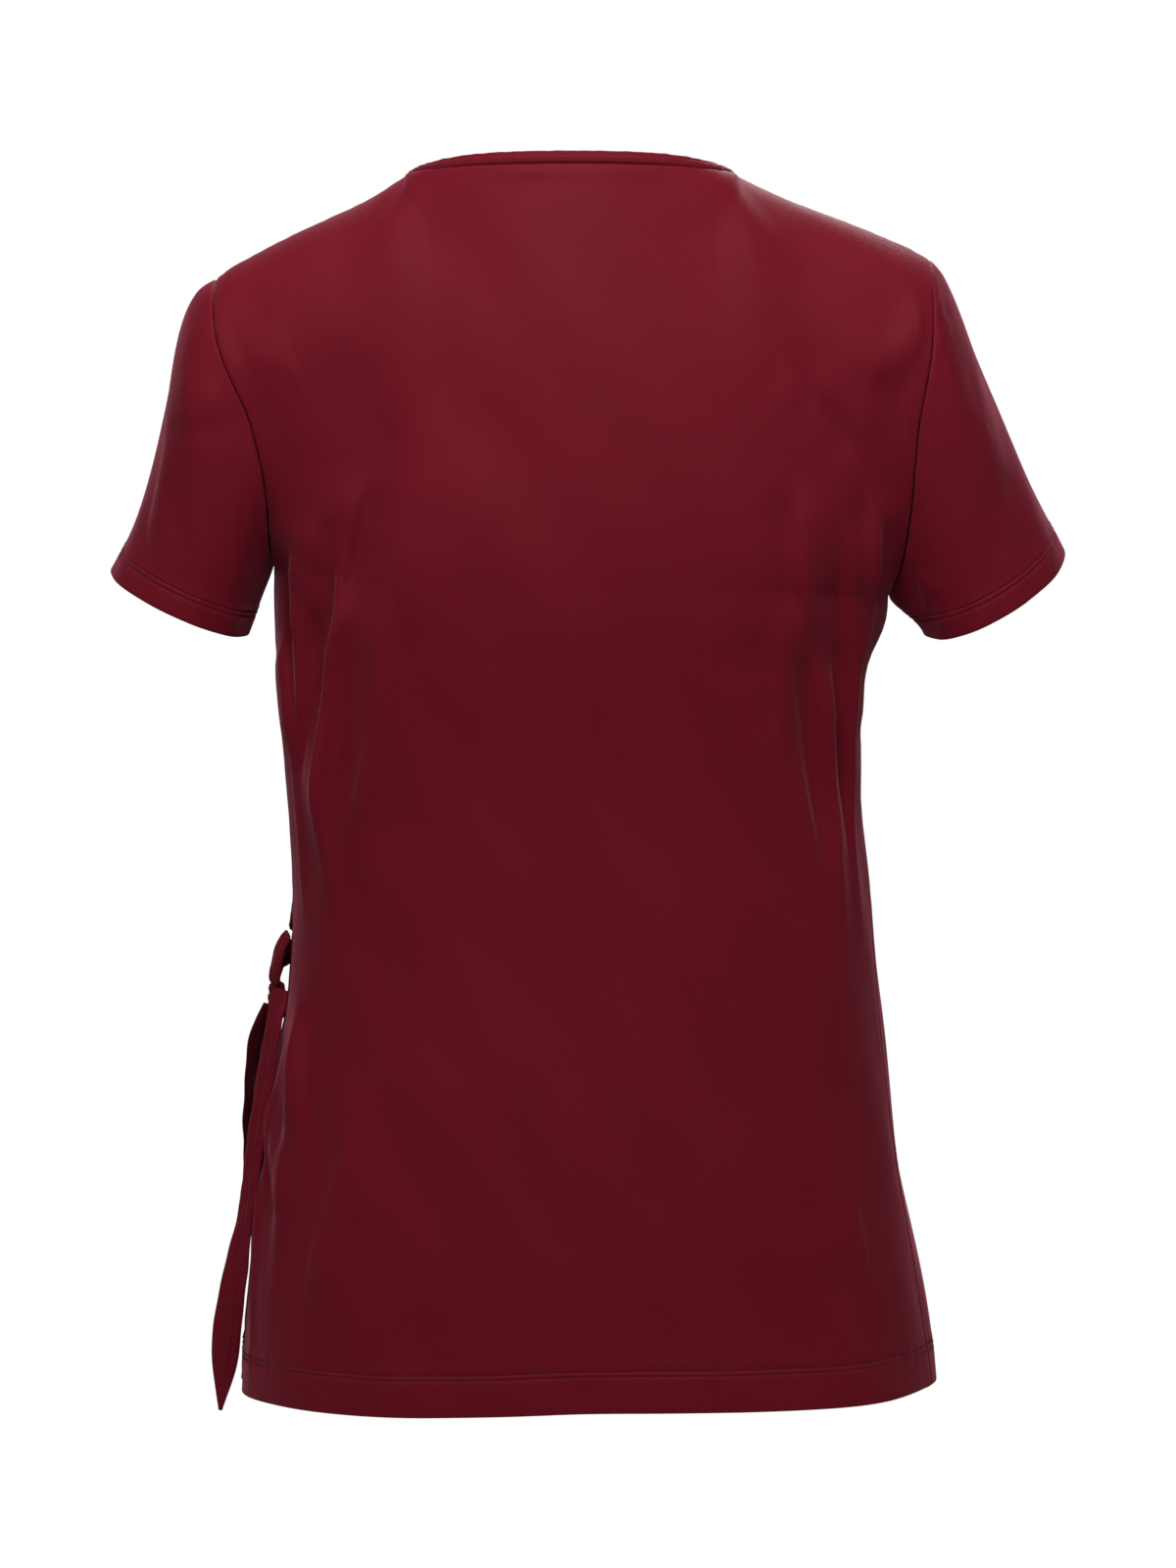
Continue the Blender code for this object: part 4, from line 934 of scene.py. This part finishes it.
# the columns, from a tie's start to its end: the middle of the tie, which way its width
# points (degrees from +X towards +Y, and degrees up), how wide it is on either side, how
# deeply it is cupped, and how far its creases lie from their places
TIES = {
    "tie_loop": {
        "x":    (0.1552, 0.1576, 0.1598, 0.1615, 0.1629, 0.1637, 0.1637),
        "y":    (0.0090, 0.0092, 0.0092, 0.0084, 0.0066, 0.0038, 0.0006),
        "z":    (-0.4120, -0.4160, -0.4210, -0.4270, -0.4330, -0.4380, -0.4412),
        "turn": (-80.0, -77.0, -74.0, -72.0, -69.0, -67.0, -70.0),
        "lift": (0.0, 0.0, 0.0, 0.0, 0.0, 0.0, 0.0),
        "wide": (0.0066, 0.0078, 0.0080, 0.0080, 0.0078, 0.0060, 0.0040),
        "cup":  (0.0002, 0.0004, 0.0006, 0.0008, 0.0010, 0.0014, 0.0018),
        "crease": (0.0, 0.1, 0.1, 0.2, 0.1, 0.0, 0.0),
    },
    "tie_strap": {
        "x":    (0.1536, 0.1562, 0.1588, 0.1604),
        "y":    (-0.0225, -0.0185, -0.0135, -0.0085),
        "z":    (-0.4225, -0.4245, -0.4285, -0.4360),
        "turn": (0.0, 0.0, 0.0, 0.0),
        "lift": (90.0, 90.0, 90.0, 90.0),
        "wide": (0.0100, 0.0092, 0.0076, 0.0056),
        "cup":  (0.0002, 0.0004, 0.0008, 0.0012),
        "crease": (0.0, 0.1, 0.1, 0.0),
    },
    "tie_tail_near": {
        "x":    (0.1578, 0.1598, 0.1622, 0.1642, 0.1680, 0.1722,
                 0.1754, 0.1793, 0.1835, 0.1869, 0.1884, 0.1903),
        "y":    (0.0104, 0.0120, 0.0130, 0.0145, 0.0165, 0.0190,
                 0.0215, 0.0240, 0.0250, 0.0240, 0.0220, 0.0200),
        "z":    (-0.4425, -0.4490, -0.4566, -0.4680, -0.4920, -0.5190,
                 -0.5457, -0.5725, -0.5990, -0.6260, -0.6460, -0.6700),
        "turn": (-10.0, -25.0, -45.0, -54.0, -56.0, -55.0, -58.0, -54.0, -30.0, -14.0, -10.0, -5.0),
        "lift": (0.0, 0.0, 0.0, 0.0, 0.0, 0.0, 0.0, 0.0, 0.0, 0.0, 0.0, 0.0),
        "wide": (0.0040, 0.0052, 0.0062, 0.0074, 0.0080, 0.0080,
                 0.0080, 0.0080, 0.0080, 0.0080, 0.0068, 0.0010),
        "cup":  (0.0004, 0.0005, 0.0006, 0.0006, 0.0006, 0.0006,
                 0.0006, 0.0005, 0.0005, 0.0006, 0.0008, 0.0004),
        "crease": (0.0, 0.05, 0.05, 0.1, 0.1, 0.15, 0.1, 0.0, -0.1, -0.1, 0.0, 0.0),
    },
    "tie_tail_far": {
        "x":    (0.1636, 0.1690, 0.1733, 0.1754, 0.1759, 0.1777, 0.1810, 0.1850, 0.1870),
        "y":    (-0.0060, -0.0100, -0.0140, -0.0180, -0.0240, -0.0300, -0.0330, -0.0340, -0.0340),
        "z":    (-0.4525, -0.4680, -0.4880, -0.5130, -0.5320, -0.5560, -0.5820, -0.6080, -0.6300),
        "turn": (62.0, 66.0, 74.0, 78.0, 78.0, 78.0, 76.0, 74.0, 72.0),
        "lift": (0.0, 0.0, 0.0, 0.0, 0.0, 0.0, 0.0, 0.0, 0.0),
        "wide": (0.0040, 0.0076, 0.0080, 0.0080, 0.0080, 0.0080, 0.0080, 0.0072, 0.0010),
        "cup":  (0.0022, 0.0020, 0.0016, 0.0012, 0.0008, 0.0006, 0.0006, 0.0008, 0.0004),
        "crease": (0.0, 0.1, 0.15, 0.1, 0.0, -0.1, -0.1, 0.0, 0.0),
    },
}


def closed_tubes(name, rings, finish, uv=None):
    """Many closed tubes in one mesh: each is a run of rings joined by four-sided faces,
    with its first and last ring filled.  rings is tubes x rings x points x 3."""
    tubes, count, around = rings.shape[:3]
    number = np.arange(tubes * count * around).reshape(tubes, count, around)
    after = np.roll(number, -1, axis=2)
    quads = np.stack([number[:, :-1], after[:, :-1], after[:, 1:], number[:, 1:]], axis=-1).reshape(-1, 4)
    ends = np.concatenate([number[:, 0, ::-1], number[:, -1]])
    mesh = bpy.data.meshes.new(name)
    mesh.from_pydata(rings.reshape(-1, 3).tolist(), [], quads.tolist() + ends.tolist())
    mesh.shade_smooth()
    if uv is not None:
        layer = mesh.uv_layers.new(name="cloth")
        corners = np.zeros(len(mesh.loops), dtype=np.int32)
        mesh.loops.foreach_get("vertex_index", corners)
        layer.data.foreach_set("uv", uv.reshape(-1, 2)[corners].ravel())
    mesh.materials.append(finish)
    piece = bpy.data.objects.new(name, mesh)
    bpy.context.scene.collection.objects.link(piece)
    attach(piece, "root")
    return piece


def tie_frame(table, steps):
    """A tie's middle line, the way its width points and the way out of it, read in smooth
    curves through the table's rows."""
    rows = dict(table, row=tuple(range(len(table["x"]))))
    place = np.linspace(0.0, len(table["x"]) - 1, steps + 1)
    value = {key: read_table(rows, "row", key, place) for key in table}
    middle = np.stack([value[key] for key in ("x", "y", "z")], axis=-1)
    turn, lift = np.radians(value["turn"]), np.radians(value["lift"])
    side = np.stack([np.cos(turn) * np.cos(lift), np.sin(turn) * np.cos(lift), np.sin(lift)], axis=-1)
    along = unit(np.gradient(middle, axis=0))
    side = unit(side - along * np.sum(side * along, axis=1, keepdims=True))
    return value, middle, side, np.cross(side, along)


def tie_rings(value, middle, side, out):
    """Rings round a tie: a flat oval with full edges, whose edges bend back by the square of
    the way across, with creases in bell curves on its outer face and two waves along it."""
    angle = 2 * np.pi * np.arange(TIE_AROUND) / TIE_AROUND
    share_over = power(np.cos(angle), 0.75)[None, :]
    wide = value["wide"][:, None]
    thick = TIE_HALF * np.minimum(1.0, wide / TIE_THIN_FROM)
    proud = thick * power(np.sin(angle), 0.6)[None, :] * (1.0 + 0.25 * np.abs(share_over) ** 6)
    run = np.concatenate([[0.0], np.cumsum(np.linalg.norm(np.diff(middle, axis=0), axis=1))])[:, None]
    over = share_over * wide
    groove = sum(depth * np.exp(-((over - (value["crease"][:, None] + place) * wide) / reach) ** 2)
                 for place, depth, reach in zip(*TIE_GROOVES.values()))
    ripple = (TIE_RIPPLE[0] * np.sin(run * 130.0 + 2.0 * share_over)
              + TIE_RIPPLE[1] * np.sin(run * 291.0 - 3.0 * share_over + 1.3))
    curl = (value["cup"][:, None] + TIE_CURL * np.minimum(1.0, wide / TIE_CURL_FROM)) * share_over**2
    proud = proud - groove * (np.sin(angle)[None, :] > 0.2) - curl + ripple
    rings = middle[:, None] + side[:, None] * over[..., None] + out[:, None] * proud[..., None]
    return rings, np.stack(np.broadcast_arrays(over, run), axis=-1)


tie_jersey = jersey_finish("tie_jersey", WINE, TIE_TONE)
# a painted-shade copy of the tie jersey, for the ties that hang in shadow
tie_painted_shade = jersey_finish("tie_painted_shade", TIE_PAINTED_SHADE_TONE, TIE_TONE)
for name, table in TIES.items():
    rings, uv = tie_rings(*tie_frame(table, TIE_STEPS[name]))
    tie_finish = tie_painted_shade if name in TIES_IN_PAINTED_SHADE else tie_jersey
    tie = closed_tubes(name + "_band", rings[None], tie_finish, uv)
    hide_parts(name)

# ---- knot -------------------------------------------------------------------
# The two ties drawn tight in a flat half knot.  Three wound bands of the same jersey go
# over each other, and their edges are squeezed together.
KNOT_MIDDLE = np.array([0.1606, 0.0000, -0.4496])
KNOT_BANDS = {
    "radius_x":  (0.0040, 0.0037, 0.0030),
    "radius_y":  (0.0066, 0.0058, 0.0050),
    "half_wide": (0.0034, 0.0046, 0.0052),
    "tilt":      (18.0, -24.0, 64.0),
    "rise":      (0.0012, -0.0010, 0.0),
    "start":     (150.0, 10.0, 60.0),
}
KNOT_STEPS = 44
KNOT_AROUND = 16
KNOT_THICK = 0.0012


def knot_band(radius_x, radius_y, half_wide, tilt, rise, start):
    """A flat band wound once and a little more round the knot: an oval path in a tilted
    plane, whose ends dive inside, with a rounded flat section that is pinched at the side."""
    turn = np.radians(start) + np.linspace(0.0, 2.3 * np.pi, KNOT_STEPS)
    ends = np.linspace(0.0, 1.0, KNOT_STEPS)
    tuck = 1.0 - 0.5 * (1.0 - smooth(0.0, 0.12, ends)) - 0.5 * smooth(0.88, 1.0, ends)
    slope = np.tan(np.radians(tilt))
    out = np.stack([np.cos(turn), np.sin(turn), np.zeros_like(turn)], axis=-1)
    path = np.stack([radius_x * np.cos(turn) * tuck, radius_y * np.sin(turn) * tuck,
                     rise + slope * radius_y * np.sin(turn) * 0.6 * tuck], axis=-1)
    along = unit(np.gradient(path, axis=0))
    out = unit(out - along * np.sum(out * along, axis=1, keepdims=True))
    side = np.cross(along, out)
    angle = 2 * np.pi * np.arange(KNOT_AROUND) / KNOT_AROUND
    pinch = 1.0 - 0.25 * np.abs(np.cos(turn))[:, None] ** 4
    wide = half_wide * power(np.cos(angle), 0.8)[None, :] * pinch
    thick = KNOT_THICK * power(np.sin(angle), 0.8)[None, :] - 0.0010 * np.abs(np.cos(angle))[None, :] ** 3
    return KNOT_MIDDLE + path[:, None] + side[:, None] * wide[..., None] + out[:, None] * thick[..., None]


knot_rings = np.stack([knot_band(*row) for row in zip(*KNOT_BANDS.values())])
knot_uv = np.stack(np.broadcast_arrays(np.linspace(0.0, 0.008, KNOT_AROUND)[None, None, :],
                                       np.linspace(0.0, 0.040, KNOT_STEPS)[None, :, None],
                                       np.zeros((3, 1, 1)))[:2], axis=-1)
knot = closed_tubes("tie_knot_bands", knot_rings, tie_jersey, knot_uv)
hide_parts("tie_knot")

# ---- stitches ---------------------------------------------------------------
# Polyester thread a shade deeper than the jersey.  A twin needle leaves two rows of short
# straight stitches on the right side of each hem and of the binding.
STITCH_PITCH = 0.0021
STITCH_LONG = 0.0016
THREAD = 0.00017         # radius of the thread
THREAD_TONE = (0.125, 0.0105, 0.0205)
# four places along a stitch, and the strand's width and its height over the cloth there
STITCH_PLACES = np.array([-0.5, -0.30, 0.30, 0.5])
STITCH_TAPER = np.array([0.45, 1.0, 1.0, 0.45])
STITCH_RISE = np.array([-1.3, 0.35, 0.35, -1.3])

thread = bpy.data.materials.new("thread")
thread_shader = shader_of(thread)
thread_shader.inputs["Base Color"].default_value = (*THREAD_TONE, 1.0)
thread_shader.inputs["Roughness"].default_value = 0.45
thread_shader.inputs["Specular IOR Level"].default_value = 0.18
thread_shader.inputs["Sheen Weight"].default_value = 0.10
strand_place = thread.node_tree.nodes.new("ShaderNodeTexCoord")
strand = thread.node_tree.nodes.new("ShaderNodeTexNoise")
strand.inputs["Scale"].default_value = 5200.0
thread.node_tree.links.new(strand_place.outputs["Object"], strand.inputs["Vector"])
strand_bump = thread.node_tree.nodes.new("ShaderNodeBump")
strand_bump.inputs["Strength"].default_value = 0.4
strand_bump.inputs["Distance"].default_value = 0.00008
thread.node_tree.links.new(strand.outputs["Fac"], strand_bump.inputs["Height"])
thread.node_tree.links.new(strand_bump.outputs["Normal"], thread_shader.inputs["Normal"])


def stitch_row(path, out):
    """Rings of one row of stitches: short tapered strands at slightly uneven steps along
    the path, whose ends dive into the cloth."""
    run = np.concatenate([[0.0], np.cumsum(np.linalg.norm(np.diff(path, axis=0), axis=1))])
    count = int(run[-1] / STITCH_PITCH)
    middle = (np.arange(count) + 0.5) * STITCH_PITCH
    middle = middle + 0.00010 * (np.sin(middle * 913.0) + np.sin(middle * 377.0 + 1.0))
    places = middle[:, None] + STITCH_PLACES * STITCH_LONG
    centre = np.stack([np.interp(places, run, path[:, k]) for k in range(3)], axis=-1)
    up = unit(np.stack([np.interp(places, run, out[:, k]) for k in range(3)], axis=-1))
    along = unit(centre[:, -1:] - centre[:, :1])
    side = unit(np.cross(up, along))
    centre = centre + up * (STITCH_RISE * THREAD)[:, None]
    angle = 2 * np.pi * np.arange(5) / 5
    ring = side[:, :, None] * np.cos(angle)[:, None] + up[:, :, None] * np.sin(angle)[:, None]
    return centre[:, :, None] + ring * (STITCH_TAPER * THREAD)[:, None, None]


def sew(name, rows):
    stitches = closed_tubes(name, np.concatenate([stitch_row(path, out) for path, out in rows]), thread)


sew("hem_stitches",
    [line_at(form, way, depth) for form, way in hem_forms for depth in HEM_STITCHES])
sew("sleeve_stitches",
    [line_at(form, way, depth) for form, way in sleeve_hems.values() for depth in SLEEVE_STITCHES])
sew("binding_stitches",
    [line_at(binding_form, -1.0, BINDING_WIDTH - depth) for depth in BINDING_STITCHES])
